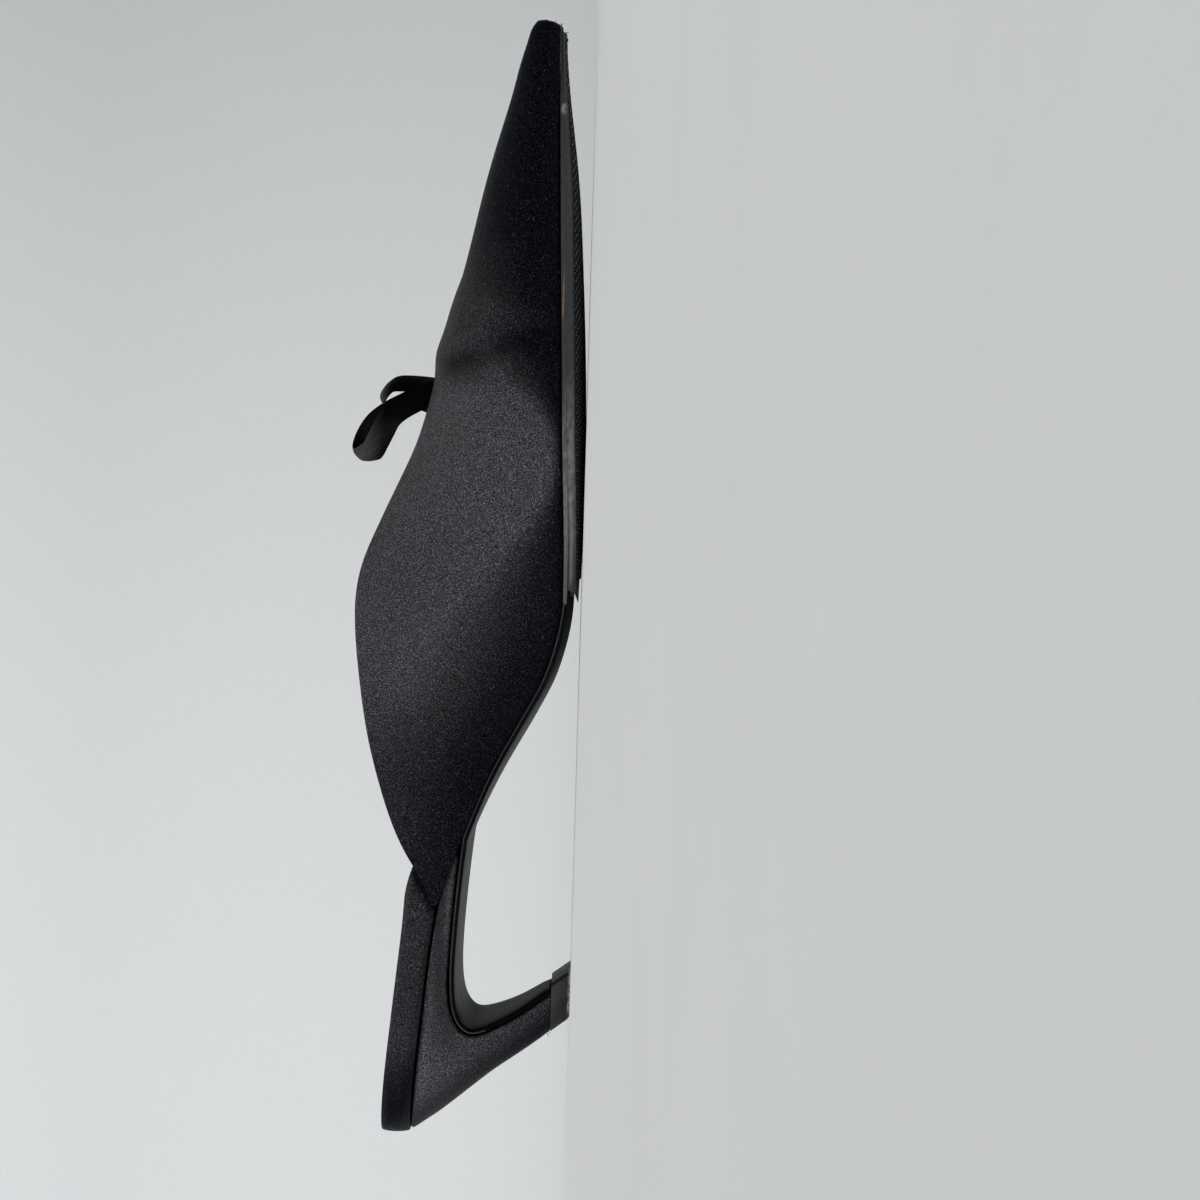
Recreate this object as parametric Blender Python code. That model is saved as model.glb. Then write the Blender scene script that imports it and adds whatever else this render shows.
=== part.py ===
"""Bow mule: a woman's left mule in black satin, with a long pointed toe, a deep open throat
closed by a ribbon bow, and a low forward-raked covered heel.

The shoe is worked out in millimetres from the back of its heel seat (SEAT_BACK) to the tip of its toe
(TOE_END), with the inner (medial) side of the foot towards -Y, and z up from the floor. It is then
centred on its length and scaled to metres.
"""

import math
from collections import namedtuple

import bmesh
import bpy
from mathutils import Vector

# Driving sizes, millimetres
SEAT_BACK = 1.5
TOE_END = 266.9
WALL = 1.6
GAP = 0.3
SOLE_THICK = 1.3
PAD_THICK = 1.5
SOLE_EDGE = 0.3
EDGE_BAND = 0.28
SOLE_MARGIN = 0.7
MARGIN_FROM = 96.0
MARGIN_OVER = 30.0
TOE_TUCK = 2.0
TUCK_FROM = 235.0
TUCK_OVER = 25.0
TOE_THIN = 0.5
THIN_FROM = 215.0
THIN_OVER = 45.0
NOSE_ROUND = 6.4
NOSE_WALL = 0.4
NOSE_START = TOE_END - NOSE_ROUND
CENTRE_X = (SEAT_BACK + TOE_END) / 2
NOSE_Y = -4.0
NOSE_FLAT = 0.5
NOSE_TURNS = (26, 46, 62)
BULGE_AT = 0.2
ARCH_DROP = 2.0
ARCH_X = 98.0
ARCH_SPREAD = 20.0
TAIL_X = 59.0
WING_X = 74.0
WING_END = 70.0
SEAT_CENTRE_X = 30.0
SEAT_HALF = 25.4
SEAT_POWER = 2.35
SEAT_TURNS = (9, 18, 30, 44, 60, 76)
SEAT_EDGE_SHARE = 0.4
PAD_END_X = 131.0
PAD_END_CURVE = 3.0
PAD_EDGE = 0.35
RIBBON_WIDE = 5.6
RIBBON_THICK = 0.7
KNOT = Vector((177.6, -3.2, 37.2))
KNOT_SIZE = Vector((6.4, 5.6, 4.6))
KNOT_ROUND = 1.5
TIE_ANGLES = (52.0, 58.0, 64.0, 70.0, 76.0)
TIP_ROUND = 2.6
SHARP_DEG = 40
MM = 0.001

# The last: one row for each section across the foot. medial and lateral are the half breadths at the
# feather line, where the upper meets the sole; fullness is the power of the section's curve (2 is an
# ellipse); bulge is how far the wall swells past the feather line; crown is how far the bottom of the
# foot hangs below its edges.
Section = namedtuple("Section", "x medial lateral feather ridge_y ridge_z fullness bulge crown")
LAST = (
    Section(59.0, 26.2, 26.4, 30.9, 0.0, 72.4, 2.2, 0.5, 0.0),
    Section(74.0, 23.4, 24.6, 25.7, 0.0, 71.4, 2.2, 2.6, 0.0),
    Section(88.0, 21.4, 24.2, 20.3, -0.5, 70.0, 2.2, 5.2, 0.2),
    Section(100.0, 22.4, 25.8, 14.1, -1.2, 68.2, 2.2, 6.0, 0.4),
    Section(113.0, 26.8, 29.6, 7.5, -2.0, 65.7, 2.2, 5.0, 0.7),
    Section(128.0, 32.8, 34.6, 4.4, -3.0, 60.8, 2.2, 3.2, 1.05),
    Section(140.0, 36.4, 37.6, 4.5, -3.4, 54.6, 2.2, 2.2, 1.2),
    Section(152.0, 37.8, 38.0, 5.0, -3.4, 47.4, 2.2, 1.6, 1.8),
    Section(165.0, 37.4, 36.2, 5.6, -3.2, 40.5, 2.15, 1.4, 2.35),
    Section(180.0, 34.0, 31.6, 6.1, -3.0, 36.4, 2.1, 1.4, 2.4),
    Section(195.0, 29.6, 25.8, 6.7, -3.0, 33.8, 2.1, 1.4, 2.3),
    Section(205.0, 26.6, 22.0, 7.1, -3.0, 30.6, 2.1, 1.4, 2.1),
    Section(230.0, 18.9, 12.1, 8.0, -3.5, 25.0, 2.1, 1.2, 1.4),
    Section(250.0, 12.4, 4.4, 8.7, -4.0, 19.2, 2.1, 0.9, 0.3),
    Section(260.5, 9.0, 1.0, 9.1, -4.0, 15.6, 2.1, 0.5, 0.0),
)

# The topline, from the foot of the throat back to the tail. Rows in the throat give half the gap between
# the two flaps; rows along the collar give the height of the edge above the floor.
Edge = namedtuple("Edge", "x half_gap height")
TOPLINE = (
    Edge(205.4, 0.0, None),
    Edge(204.2, 2.3, None),
    Edge(201.5, 3.9, None),
    Edge(195.0, 5.3, None),
    Edge(188.0, 6.4, None),
    Edge(180.0, 7.0, None),
    Edge(170.0, 9.4, None),
    Edge(160.0, 12.4, None),
    Edge(150.0, 15.4, None),
    Edge(139.0, None, 49.3),
    Edge(128.0, None, 50.5),
    Edge(115.0, None, 49.7),
    Edge(105.0, None, 48.3),
    Edge(96.0, None, 46.5),
    Edge(88.0, None, 44.2),
    Edge(80.0, None, 41.5),
    Edge(73.0, None, 38.5),
    Edge(67.0, None, 35.3),
    Edge(62.0, None, 32.9),
    Edge(59.0, None, 32.2),
)

# The groove line under the seat, and the footbed above it.
Level = namedtuple("Level", "x z")
GROOVE = (Level(0.0, 37.1), Level(30.0, 34.0), Level(59.0, 30.9), Level(67.0, 28.6), Level(74.0, 25.7))
Depth = namedtuple("Depth", "x thick edge_round")
FOOTBED = (
    Depth(0.0, 6.4, 1.5),
    Depth(20.0, 6.8, 1.5),
    Depth(62.0, 7.0, 1.2),
    Depth(80.0, 6.2, 0.7),
    Depth(100.0, 4.8, 0.5),
    Depth(120.0, 3.3, 0.4),
    Depth(140.0, 2.6, 0.4),
    Depth(260.0, 2.2, 0.4),
)

# The shank: one row for each section from the waist, under the seat and down the heel's breast. x, z and
# half are on the sole's inner face; back_x and back_z are where the heel's section ends behind; belly is
# its widest half breadth, round how full its back is, and lift how far it follows the bend of the seat.
Rib = namedtuple("Rib", "x z half back_x back_z belly round lift")
SHANK = (
    Rib(74.0, 25.4, 22.8, 2.4, 36.5, 24.8, 5.0, 1.0),
    Rib(70.0, 25.9, 21.8, 2.0, 35.9, 24.7, 4.9, 0.85),
    Rib(64.0, 26.5, 20.8, 2.0, 35.5, 24.3, 4.8, 0.6),
    Rib(53.0, 27.4, 19.4, 2.7, 34.5, 23.4, 4.4, 0.3),
    Rib(42.0, 27.9, 18.4, 4.1, 32.8, 21.8, 4.0, 0.1),
    Rib(34.5, 27.5, 17.2, 6.0, 30.4, 19.9, 3.5, 0.0),
    Rib(30.0, 26.1, 16.0, 8.2, 27.6, 17.8, 3.2, 0.0),
    Rib(27.6, 23.8, 14.8, 10.7, 24.5, 15.8, 3.0, 0.0),
    Rib(27.2, 21.2, 13.4, 13.2, 21.4, 13.9, 2.8, 0.0),
    Rib(28.3, 17.6, 11.4, 16.4, 17.3, 11.6, 2.7, 0.0),
    Rib(30.9, 12.0, 9.0, 20.3, 11.5, 9.2, 2.6, 0.0),
    Rib(34.2, 6.9, 7.0, 23.9, 6.5, 7.2, 2.5, 0.0),
    Rib(35.8, 4.6, 6.2, 25.6, 4.5, 6.5, 2.5, 0.0),
)

# The heel's top piece: one row for each level, sheared forward as the leg of the heel is.
Slice = namedtuple("Slice", "z back front half")
TOP_PIECE = (
    Slice(4.0, 25.2, 38.0, 6.9),
    Slice(0.5, 28.2, 40.9, 6.8),
    Slice(0.0, 28.9, 41.3, 6.3),
)

# The bow's near loop: one row for each fold, as its reach from the knot's centre along LOOP_WAY, half the gap
# between its two layers, and how far the ribbon has turned about that way from lying across the shoe.
LOOP_WAY = Vector((-0.70, -0.09, 0.708)).normalized()
Loop = namedtuple("Loop", "reach half_gap turn")
LOOP_MEDIAL = (
    Loop(4.3, 0.6, 0.0),
    Loop(7.5, 0.8, 32.0),
    Loop(11.5, 1.5, 74.0),
    Loop(15.5, 2.1, 90.0),
    Loop(19.0, 1.9, 94.0),
    Loop(20.8, 1.2, 96.0),
    Loop(21.5, 0.5, 96.0),
    Loop(21.6, 0.0, 96.0),
)

# The near tail: one row for each fold, as steps from the knot's centre, with the way its width lies.
Fold = namedtuple("Fold", "x y z wide_x wide_y wide_z")
TAIL_MEDIAL = (
    Fold(0.9, 1.2, 2.8, 1.0, 0.0, 0.0),
    Fold(1.2, 1.6, 4.8, 0.95, 0.3, 0.0),
    Fold(1.8, 1.9, 7.4, 0.8, 0.6, 0.0),
    Fold(1.6, 1.9, 9.6, 0.45, 0.9, 0.0),
    Fold(-0.4, 1.8, 11.3, 0.2, 0.97, 0.15),
    Fold(-3.0, 1.7, 12.4, 0.15, 0.97, 0.2),
)

# The far half of the bow lies on the lateral flap: one row for each fold, as an angle round the section
# and a height over the flap.
Lie = namedtuple("Lie", "x angle height")
LOOP_LATERAL = (
    Lie(177.4, 85.0, 2.6),
    Lie(176.6, 76.0, 4.6),
    Lie(175.6, 66.0, 4.6),
    Lie(174.6, 56.5, 3.2),
    Lie(174.3, 53.5, 1.9),
    Lie(174.6, 56.5, 0.9),
    Lie(175.6, 66.0, 0.9),
    Lie(176.6, 76.0, 1.1),
    Lie(177.4, 85.0, 0.8),
)
TAIL_LATERAL = (
    Lie(182.2, 86.5, 0.1),
    Lie(186.0, 79.0, 0.9),
    Lie(191.0, 71.0, 1.0),
    Lie(196.0, 62.0, 1.0),
    Lie(200.5, 54.0, 0.9),
)

# Finishes: colour, roughness
SATIN = ("black_satin", (0.012, 0.012, 0.013), 0.42)
RIBBON = ("black_ribbon", (0.008, 0.008, 0.009), 0.36)
SOLE_LEATHER = ("lacquered_sole_leather", (0.012, 0.013, 0.014), 0.25)
GRIP_RUBBER = ("black_grip_rubber", (0.03, 0.03, 0.031), 0.6)
TIP_RUBBER = ("black_tip_rubber", (0.035, 0.036, 0.037), 0.65)


def curve(rows, column):
    """A smooth function of x through one column of a table, with no overshoot between its rows."""
    rows = sorted(rows, key=lambda row: row.x)
    xs = [row.x for row in rows]
    ys = [getattr(row, column) for row in rows]
    steps = [b - a for a, b in zip(xs, xs[1:])]
    rises = [(b - a) / step for a, b, step in zip(ys, ys[1:], steps)]
    slopes = [rises[0]]
    for before, after in zip(rises, rises[1:]):
        slopes.append(0.0 if before * after <= 0 else 2 * before * after / (before + after))
    slopes.append(rises[-1])

    def at(x):
        x = min(max(x, xs[0]), xs[-1])
        i = next((k for k in range(len(steps)) if x <= xs[k + 1]), len(steps) - 1)
        t = (x - xs[i]) / steps[i]
        start = ys[i] * (1 + 2 * t) * (1 - t) ** 2 + slopes[i] * steps[i] * t * (1 - t) ** 2
        return start + ys[i + 1] * t * t * (3 - 2 * t) + slopes[i + 1] * steps[i] * t * t * (t - 1)

    return at


def spread(start, end, count):
    """count + 1 even steps from start to end."""
    return [start + (end - start) * i / count for i in range(count + 1)]


def through(rows, steps=3):
    """Rows of a table with more worked out between each two, on a smooth path."""
    made = []
    for i in range(len(rows) - 1):
        before, after = rows[max(i - 1, 0)], rows[min(i + 2, len(rows) - 1)]
        for t in spread(0.0, 1.0, steps)[:-1]:
            made.append(
                [
                    b + 0.5 * t * ((c - a) + t * (2 * a - 5 * b + 4 * c - d + t * (3 * b - a - 3 * c + d)))
                    for a, b, c, d in zip(before, rows[i], rows[i + 1], after)
                ]
            )
    return made + [list(rows[-1])]


def smoothstep(t):
    t = min(max(t, 0.0), 1.0)
    return t * t * (3 - 2 * t)


last = {column: curve(LAST, column) for column in Section._fields[1:]}
groove = curve(GROOVE, "z")
footbed_thick = curve(FOOTBED, "thick")
footbed_round = curve(FOOTBED, "edge_round")


def section(x):
    """The last's section at x. Past the start of the nose it shrinks round the tip of the toe."""
    row = {column: last[column](x) for column in last}
    if x > NOSE_START:
        shrink = math.sqrt(max(0.0, 1 - ((x - NOSE_START) / NOSE_ROUND) ** 2))
        row["medial"] = -NOSE_Y + (row["medial"] + NOSE_Y) * shrink
        row["lateral"] = NOSE_Y + (row["lateral"] - NOSE_Y) * shrink
        row["bulge"] *= shrink
        rise = row["ridge_z"] - row["feather"]
        row["ridge_z"] = row["feather"] + rise * (NOSE_FLAT + (1 - NOSE_FLAT) * shrink)
    return row


def hang(x, s):
    """How far the bottom of the foot hangs below its edges, s running from -1 to 1 across it."""
    return Vector((0, 0, -section(x)["crown"] * (1 - s**4)))


def arch_drop(x, side):
    """How much lower the feather line runs on the outer side of the waist than on the inner side."""
    return ARCH_DROP * math.exp(-(((x - ARCH_X) / ARCH_SPREAD) ** 2)) if side > 0 else 0.0


def wall_point(x, side, angle):
    """A point on the outside of the upper: side -1 is medial, angle 0 the feather line and 90 the ridge."""
    row = section(x)
    turn = math.radians(angle)
    power = 2 / row["fullness"]
    feather_y = row["lateral"] if side > 0 else -row["medial"]
    feather_z = row["feather"] - arch_drop(x, side)
    share = angle / 90
    swell = row["bulge"] * share * (1 - share) ** 4 / (BULGE_AT * (1 - BULGE_AT) ** 4)
    y = row["ridge_y"] + (feather_y - row["ridge_y"]) * math.cos(turn) ** power + side * swell
    z = feather_z + (row["ridge_z"] - feather_z) * math.sin(turn) ** power
    if x > NOSE_START:
        x -= TOE_TUCK * ((x - NOSE_START) / NOSE_ROUND) ** 2 * (1 - share) ** 2
    return Vector((x, y, z))


def wall_y(x, side, z):
    """How far out the upper's outside is at a height, as a positive breadth from the centre line."""
    low, high = 0.0, 90.0
    for _ in range(30):
        middle = (low + high) / 2
        if wall_point(x, side, middle).z < z:
            low = middle
        else:
            high = middle
    return side * wall_point(x, side, low).y


def edge_angle_rows():
    """The topline's rows as angles round the section, for both kinds of row."""
    Cut = namedtuple("Cut", "x angle")
    rows = []
    for edge in TOPLINE:
        row = section(edge.x)
        if edge.height is None:
            half = row["medial"] + row["ridge_y"]
            angle = math.acos((edge.half_gap / half) ** (row["fullness"] / 2))
        else:
            rise = (edge.height - row["feather"]) / (row["ridge_z"] - row["feather"])
            angle = math.asin(rise ** (row["fullness"] / 2))
        rows.append(Cut(edge.x, math.degrees(angle)))
    return rows


edge_angle = curve(edge_angle_rows(), "angle")
THROAT_X = TOPLINE[0].x


def nose_stations(reach):
    """Stations round the tip of the toe, closer together towards its end."""
    return [NOSE_START + reach * math.sin(math.radians(turn)) for turn in NOSE_TURNS]


def foot_stations():
    """Stations along the upper from the tail to the start of the nose."""
    behind = [TAIL_X, 60.5, 62.5, 65.0, 69.0] + spread(WING_X, 194.0, 20) + [199.0, 202.2, 204.2]
    return behind + [THROAT_X] + spread(209.0, NOSE_START, 8)


def make_object(name, bm, finish):
    """Turns a bmesh in millimetres into a named object in metres, centred on the shoe's length."""
    for vert in bm.verts:
        vert.co = (vert.co - Vector((CENTRE_X, 0, 0))) * MM
    bmesh.ops.recalc_face_normals(bm, faces=bm.faces)
    mesh = bpy.data.meshes.new(name)
    bm.to_mesh(mesh)
    bm.free()
    mesh.shade_smooth()
    mesh.set_sharp_from_angle(angle=math.radians(SHARP_DEG))
    obj = bpy.data.objects.new(name, mesh)
    bpy.context.scene.collection.objects.link(obj)
    obj.parent = shoe
    obj.data.materials.append(material(*finish))
    return obj


def material(name, colour, roughness):
    found = bpy.data.materials.get(name)
    if found:
        return found
    made = bpy.data.materials.new(name)
    made.use_nodes = True
    shader = made.node_tree.nodes["Principled BSDF"]
    shader.inputs["Base Color"].default_value = (*colour, 1)
    shader.inputs["Roughness"].default_value = roughness
    shader.inputs["Metallic"].default_value = 0.0
    return made


def skin(bm, loops):
    """Faces from each closed loop of vertices to the next."""
    count = len(loops[0])
    for one, two in zip(loops, loops[1:]):
        for i in range(count):
            j = (i + 1) % count
            bm.faces.new((one[i], one[j], two[j], two[i]))


def loft(name, rings, finish):
    """A solid through closed rings of points, one after the other, with a flat cap at both ends."""
    bm = bmesh.new()
    loops = [[bm.verts.new(point) for point in ring] for ring in rings]
    skin(bm, loops)
    bm.faces.new(loops[0])
    bm.faces.new(loops[-1])
    make_object(name, bm, finish)


def upper():
    """The satin upper: one hollow wall over the last, open at the throat, collar, back and underneath,
    and pared thin round the tip of the toe."""
    columns = 10
    bm = bmesh.new()
    stations = foot_stations() + nose_stations(NOSE_ROUND)
    sheets = {-1: [], 1: []}
    for x in stations:
        joined = x >= THROAT_X
        top = 90.0 if joined else edge_angle(x)
        for side in (-1, 1):
            angles = spread(0.0, top, columns)
            sheets[side].append([bm.verts.new(wall_point(x, side, a)) for a in angles[:-1]])
        ridge = bm.verts.new(wall_point(x, -1, top))
        sheets[-1][-1].append(ridge)
        sheets[1][-1].append(ridge if joined else bm.verts.new(wall_point(x, 1, top)))
    for sheet in sheets.values():
        for one, two in zip(sheet, sheet[1:]):
            for i in range(columns):
                bm.faces.new((one[i], one[i + 1], two[i + 1], two[i]))
    medial, lateral = sheets[-1][-1], sheets[1][-1]
    for i in range(columns - 1):
        bm.faces.new((medial[i], medial[i + 1], lateral[i + 1], lateral[i]))
    bm.faces.new((medial[columns - 1], medial[columns], lateral[columns - 1]))
    bmesh.ops.recalc_face_normals(bm, faces=bm.faces)
    obj = make_object("upper", bm, SATIN)
    wall = obj.modifiers.new("wall", "SOLIDIFY")
    wall.thickness = WALL * MM
    wall.offset = -1.0
    wall.use_even_offset = True
    skived = obj.vertex_groups.new(name="skived")
    for vert in obj.data.vertices:
        past = vert.co.x / MM + CENTRE_X - NOSE_START
        share = smoothstep(2 * past / NOSE_ROUND)
        skived.add([vert.index], 1 - share * (1 - NOSE_WALL), "REPLACE")
    wall.vertex_group = skived.name


def seat_half(x):
    """Half the breadth of the open heel seat, a full U round the back of the heel."""
    back = max(0.0, (SEAT_CENTRE_X - x) / (SEAT_CENTRE_X - SEAT_BACK))
    fall = smoothstep((x - SEAT_CENTRE_X) / (TAIL_X - SEAT_CENTRE_X))
    widest = SEAT_HALF - fall * (SEAT_HALF - (last["medial"](TAIL_X) - WALL - GAP))
    return widest * (1 - back**SEAT_POWER) ** (1 / SEAT_POWER)


def footbed_half(x, side, z):
    """Half the breadth of the insole at a height: the seat's own outline, or just inside the upper."""
    if x <= TAIL_X:
        return seat_half(x)
    lean_z = wall_y(x, side, z + 0.5) - wall_y(x, side, z - 0.5)
    lean_x = wall_y(x + 0.5, side, z) - wall_y(x - 0.5, side, z)
    return wall_y(x, side, z) - WALL * math.sqrt(1 + lean_z**2 + lean_x**2) - GAP


def insole():
    """The covered insole: a thick padded rim round the open seat, thinning inside the upper to the toe."""
    across = spread(-1.0, 1.0, 6)
    reach = SEAT_CENTRE_X - SEAT_BACK
    back = [SEAT_CENTRE_X - reach * math.cos(math.radians(turn)) for turn in SEAT_TURNS]
    inside = [x for x in foot_stations() if TAIL_X < x < NOSE_START - NOSE_ROUND]
    stations = back + [SEAT_CENTRE_X, 40.0, 50.0, TAIL_X] + inside
    rings = []
    for x in stations:
        bottom_z = groove(x) if x < WING_X else section(x)["feather"]
        top_z = bottom_z + footbed_thick(x)
        edge = min(footbed_round(x), seat_half(min(x, TAIL_X)) * SEAT_EDGE_SHARE)
        levels = ((bottom_z, -edge), (bottom_z + edge, 0.0), (top_z - edge, 0.0), (top_z, -edge))
        ends = {}
        for side in (-1, 1):
            drop = arch_drop(x, side)
            ends[side] = [
                Vector((x, side * (footbed_half(x, side, z - drop) + inset), z - drop)) for z, inset in levels
            ]
        bottom = [ends[-1][0].lerp(ends[1][0], (s + 1) / 2) + hang(x, s) for s in across]
        top = [ends[1][3].lerp(ends[-1][3], (s + 1) / 2) for s in across]
        rings.append(bottom + ends[1][1:3] + top + [ends[-1][2], ends[-1][1]])
    loft("insole", rings, SATIN)


def shank_ribs():
    """The shank's rows with one more section worked out between each two."""
    return [Rib(*row) for row in through(SHANK, 2)]


Station = namedtuple("Station", "x z medial lateral tilt")


def sole_path():
    """The sole's inner face from the tip of the toe to the foot of the heel's breast."""
    path = []
    for x in reversed(foot_stations()[5:] + nose_stations(NOSE_ROUND - TOE_TUCK)):
        row = section(x)
        margin = SOLE_MARGIN * smoothstep((x - MARGIN_FROM) / MARGIN_OVER)
        margin -= TOE_TUCK * smoothstep((x - TUCK_FROM) / TUCK_OVER)
        path.append(
            Station(x, row["feather"] - GAP, row["medial"] + margin, row["lateral"] + margin, arch_drop(x, 1))
        )
    for rib in shank_ribs()[1:]:
        path.append(Station(rib.x, rib.z, rib.half, rib.half, 0.0))
    return path


def toe_share(x):
    """The share of the sole's thickness that is left towards the tip of the toe."""
    return 1 - TOE_THIN * smoothstep((x - THIN_FROM) / THIN_OVER)


def path_normals(path):
    """The way out of the sole at each station: down under the foot, forwards on the heel's breast."""
    normals = []
    for i in range(len(path)):
        one, two = path[max(i - 1, 0)], path[min(i + 1, len(path) - 1)]
        along = Vector((two.x - one.x, 0, two.z - one.z)).normalized()
        normals.append(Vector((-along.z, 0, along.x)))
    return normals


def sole_ring(station, normal, inner, outer, across, edge):
    """A closed section of a sole layer between two depths below the sole's inner face."""
    ends = Vector((0, -station.medial, 0)), Vector((0, station.lateral, -station.tilt))
    base = Vector((station.x, 0, station.z))
    top, bottom = [], []
    for s in across:
        middle = base + ends[0].lerp(ends[1], (s + 1) / 2)
        if station.x > WING_X:
            middle += hang(station.x, s)
        lift = edge * smoothstep((abs(s) - 1 + EDGE_BAND) / EDGE_BAND)
        top.append(middle + normal * inner)
        bottom.append(middle + normal * (outer - lift))
    return top + bottom[::-1]


def outsole():
    """The sole leather: toe to waist, then on under the seat and down the breast of the heel."""
    path = sole_path()
    across = (-1.0, -0.8, -0.4, 0.0, 0.4, 0.8, 1.0)
    rings = []
    for station, normal in zip(path, path_normals(path)):
        thick = SOLE_THICK * toe_share(station.x)
        rings.append(sole_ring(station, normal, 0.0, thick, across, SOLE_EDGE))
    loft("outsole", rings, SOLE_LEATHER)


def grip_pad():
    """The rubber pad under the forefoot, flat where it stands, its rear edge bowed towards the heel."""
    whole = sole_path()
    front = [pair for pair in zip(whole, path_normals(whole)) if pair[0].x > PAD_END_X + 5]
    row = section(PAD_END_X)
    medial, lateral = row["medial"] + SOLE_MARGIN, row["lateral"] + SOLE_MARGIN
    front.append((Station(PAD_END_X, row["feather"] - GAP, medial, lateral, 0.0), Vector((0, 0, -1))))
    across = (-1.0, -0.93, -0.86, -0.72, -0.5, -0.25, 0.0, 0.25, 0.5, 0.72, 0.86, 0.93, 1.0)
    rings = []
    for station, normal in front:
        share = toe_share(station.x)
        inner = SOLE_THICK * share + GAP
        rings.append(sole_ring(station, normal, inner, inner + PAD_THICK * share, across, PAD_EDGE))
    for point, s in zip(rings[-1], across + across[::-1]):
        point.x -= PAD_END_CURVE * (1 - s * s)
    for ring in rings:
        for point in ring:
            point.z = max(point.z, 0.0)
    loft("grip_pad", rings, GRIP_RUBBER)


def heel():
    """The covered heel: a fan of sections that swings from the seat round the breast and down the leg."""
    shares = (0.0, 0.08, 0.17, 0.28, 0.42, 0.56, 0.68, 0.78, 0.86, 0.92, 0.965, 0.99)
    bm = bmesh.new()
    ribs = shank_ribs()
    sections = []
    for rib, normal in zip(ribs, path_normals(ribs)):
        if rib.x <= WING_END:
            sections.append((rib, Vector((rib.x, 0, rib.z)) - normal * GAP))
    wing = sections[0][0]
    seat = wing._replace(back_x=SHANK[0].back_x, back_z=SHANK[0].back_z, lift=SHANK[0].lift)
    sections.insert(0, (seat, Vector((WING_END, 0, groove(WING_END) - GAP))))
    loops = []
    for rib, start in sections:
        end = Vector((rib.back_x, 0, rib.back_z))
        sides = {-1: [], 1: []}
        for f in shares:
            middle = start.lerp(end, f)
            middle.z += rib.lift * (groove(middle.x) - GAP - middle.z) * smoothstep(f / 0.1)
            half = rib.half + (rib.belly - rib.half) * smoothstep(f / 0.4)
            half *= math.sqrt(1 - f**rib.round)
            for side in (-1, 1):
                sides[side].append(bm.verts.new(middle + Vector((0, side * half, 0))))
        loops.append(sides[-1] + [bm.verts.new(end)] + sides[1][::-1])
    skin(bm, loops)
    for loop in (loops[0], loops[-1]):
        for i in range(len(shares) - 1):
            bm.faces.new((loop[i], loop[i + 1], loop[-2 - i], loop[-1 - i]))
        middle = len(shares)
        bm.faces.new((loop[middle - 1], loop[middle], loop[middle + 1]))
    make_object("heel", bm, SATIN)


def top_piece():
    """The rubber top piece that the heel stands on, flat underneath."""
    rings = []
    for level in TOP_PIECE:
        sides = []
        for f in (0.0, 0.06, 0.2, 0.4, 0.6, 0.76, 0.88, 0.96):
            half = level.half * (0.9 + 0.1 * smoothstep(f / 0.06)) * math.sqrt(1 - f**TIP_ROUND)
            sides.append((level.front + (level.back - level.front) * f, half))
        ring = [Vector((x, -half, level.z)) for x, half in sides]
        ring.append(Vector((level.back, 0, level.z)))
        rings.append(ring + [Vector((x, half, level.z)) for x, half in reversed(sides)])
    loft("top_piece", rings, TIP_RUBBER)


def ribbon(name, centres, widths):
    """A flat ribbon along a path, its faces square to both the path and the way its width lies."""
    rings = []
    for i, (centre, wide) in enumerate(zip(centres, widths)):
        along = (centres[min(i + 1, len(centres) - 1)] - centres[max(i - 1, 0)]).normalized()
        out = along.cross(wide).normalized()
        across = out.cross(along).normalized() * (RIBBON_WIDE / 2)
        deep = out * (RIBBON_THICK / 2)
        rings.append(
            [centre + across + deep, centre - across + deep, centre - across - deep, centre + across - deep]
        )
    loft(name, rings, RIBBON)


def standing_loop(name, loops):
    """A loop of the bow that stands up from the knot: out along one layer, round its end and back."""
    level = Vector((0, 1, 0)).cross(LOOP_WAY).normalized()
    flat = LOOP_WAY.cross(level)
    rows = through(loops)
    centres, widths = [], []
    for side, part in ((1, rows), (-1, rows[-2::-1])):
        for reach, half_gap, turn in part:
            wide = flat * math.cos(math.radians(turn)) + level * math.sin(math.radians(turn))
            centres.append(KNOT + LOOP_WAY * reach + LOOP_WAY.cross(wide) * half_gap * side)
            widths.append(wide)
    ribbon(name, centres, widths)


def standing_tail(name, folds):
    """A tail of the bow that stands up from the knot."""
    rows = through(folds)
    ribbon(name, [KNOT + Vector(row[:3]) for row in rows], [Vector(row[3:]) for row in rows])


def lying_ribbon(name, lies):
    """A loop or tail of the bow that lies over the lateral flap."""
    centres, outs = [], []
    for x, angle, height in through(lies):
        up = wall_point(x, 1, angle + 1) - wall_point(x, 1, angle - 1)
        along = wall_point(x + 1, 1, angle) - wall_point(x - 1, 1, angle)
        outs.append(up.cross(along).normalized())
        centres.append(wall_point(x, 1, angle) + outs[-1] * height)
    run = centres[len(centres) // 2] - centres[0]
    ribbon(name, centres, [out.cross(run) for out in outs])


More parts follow.
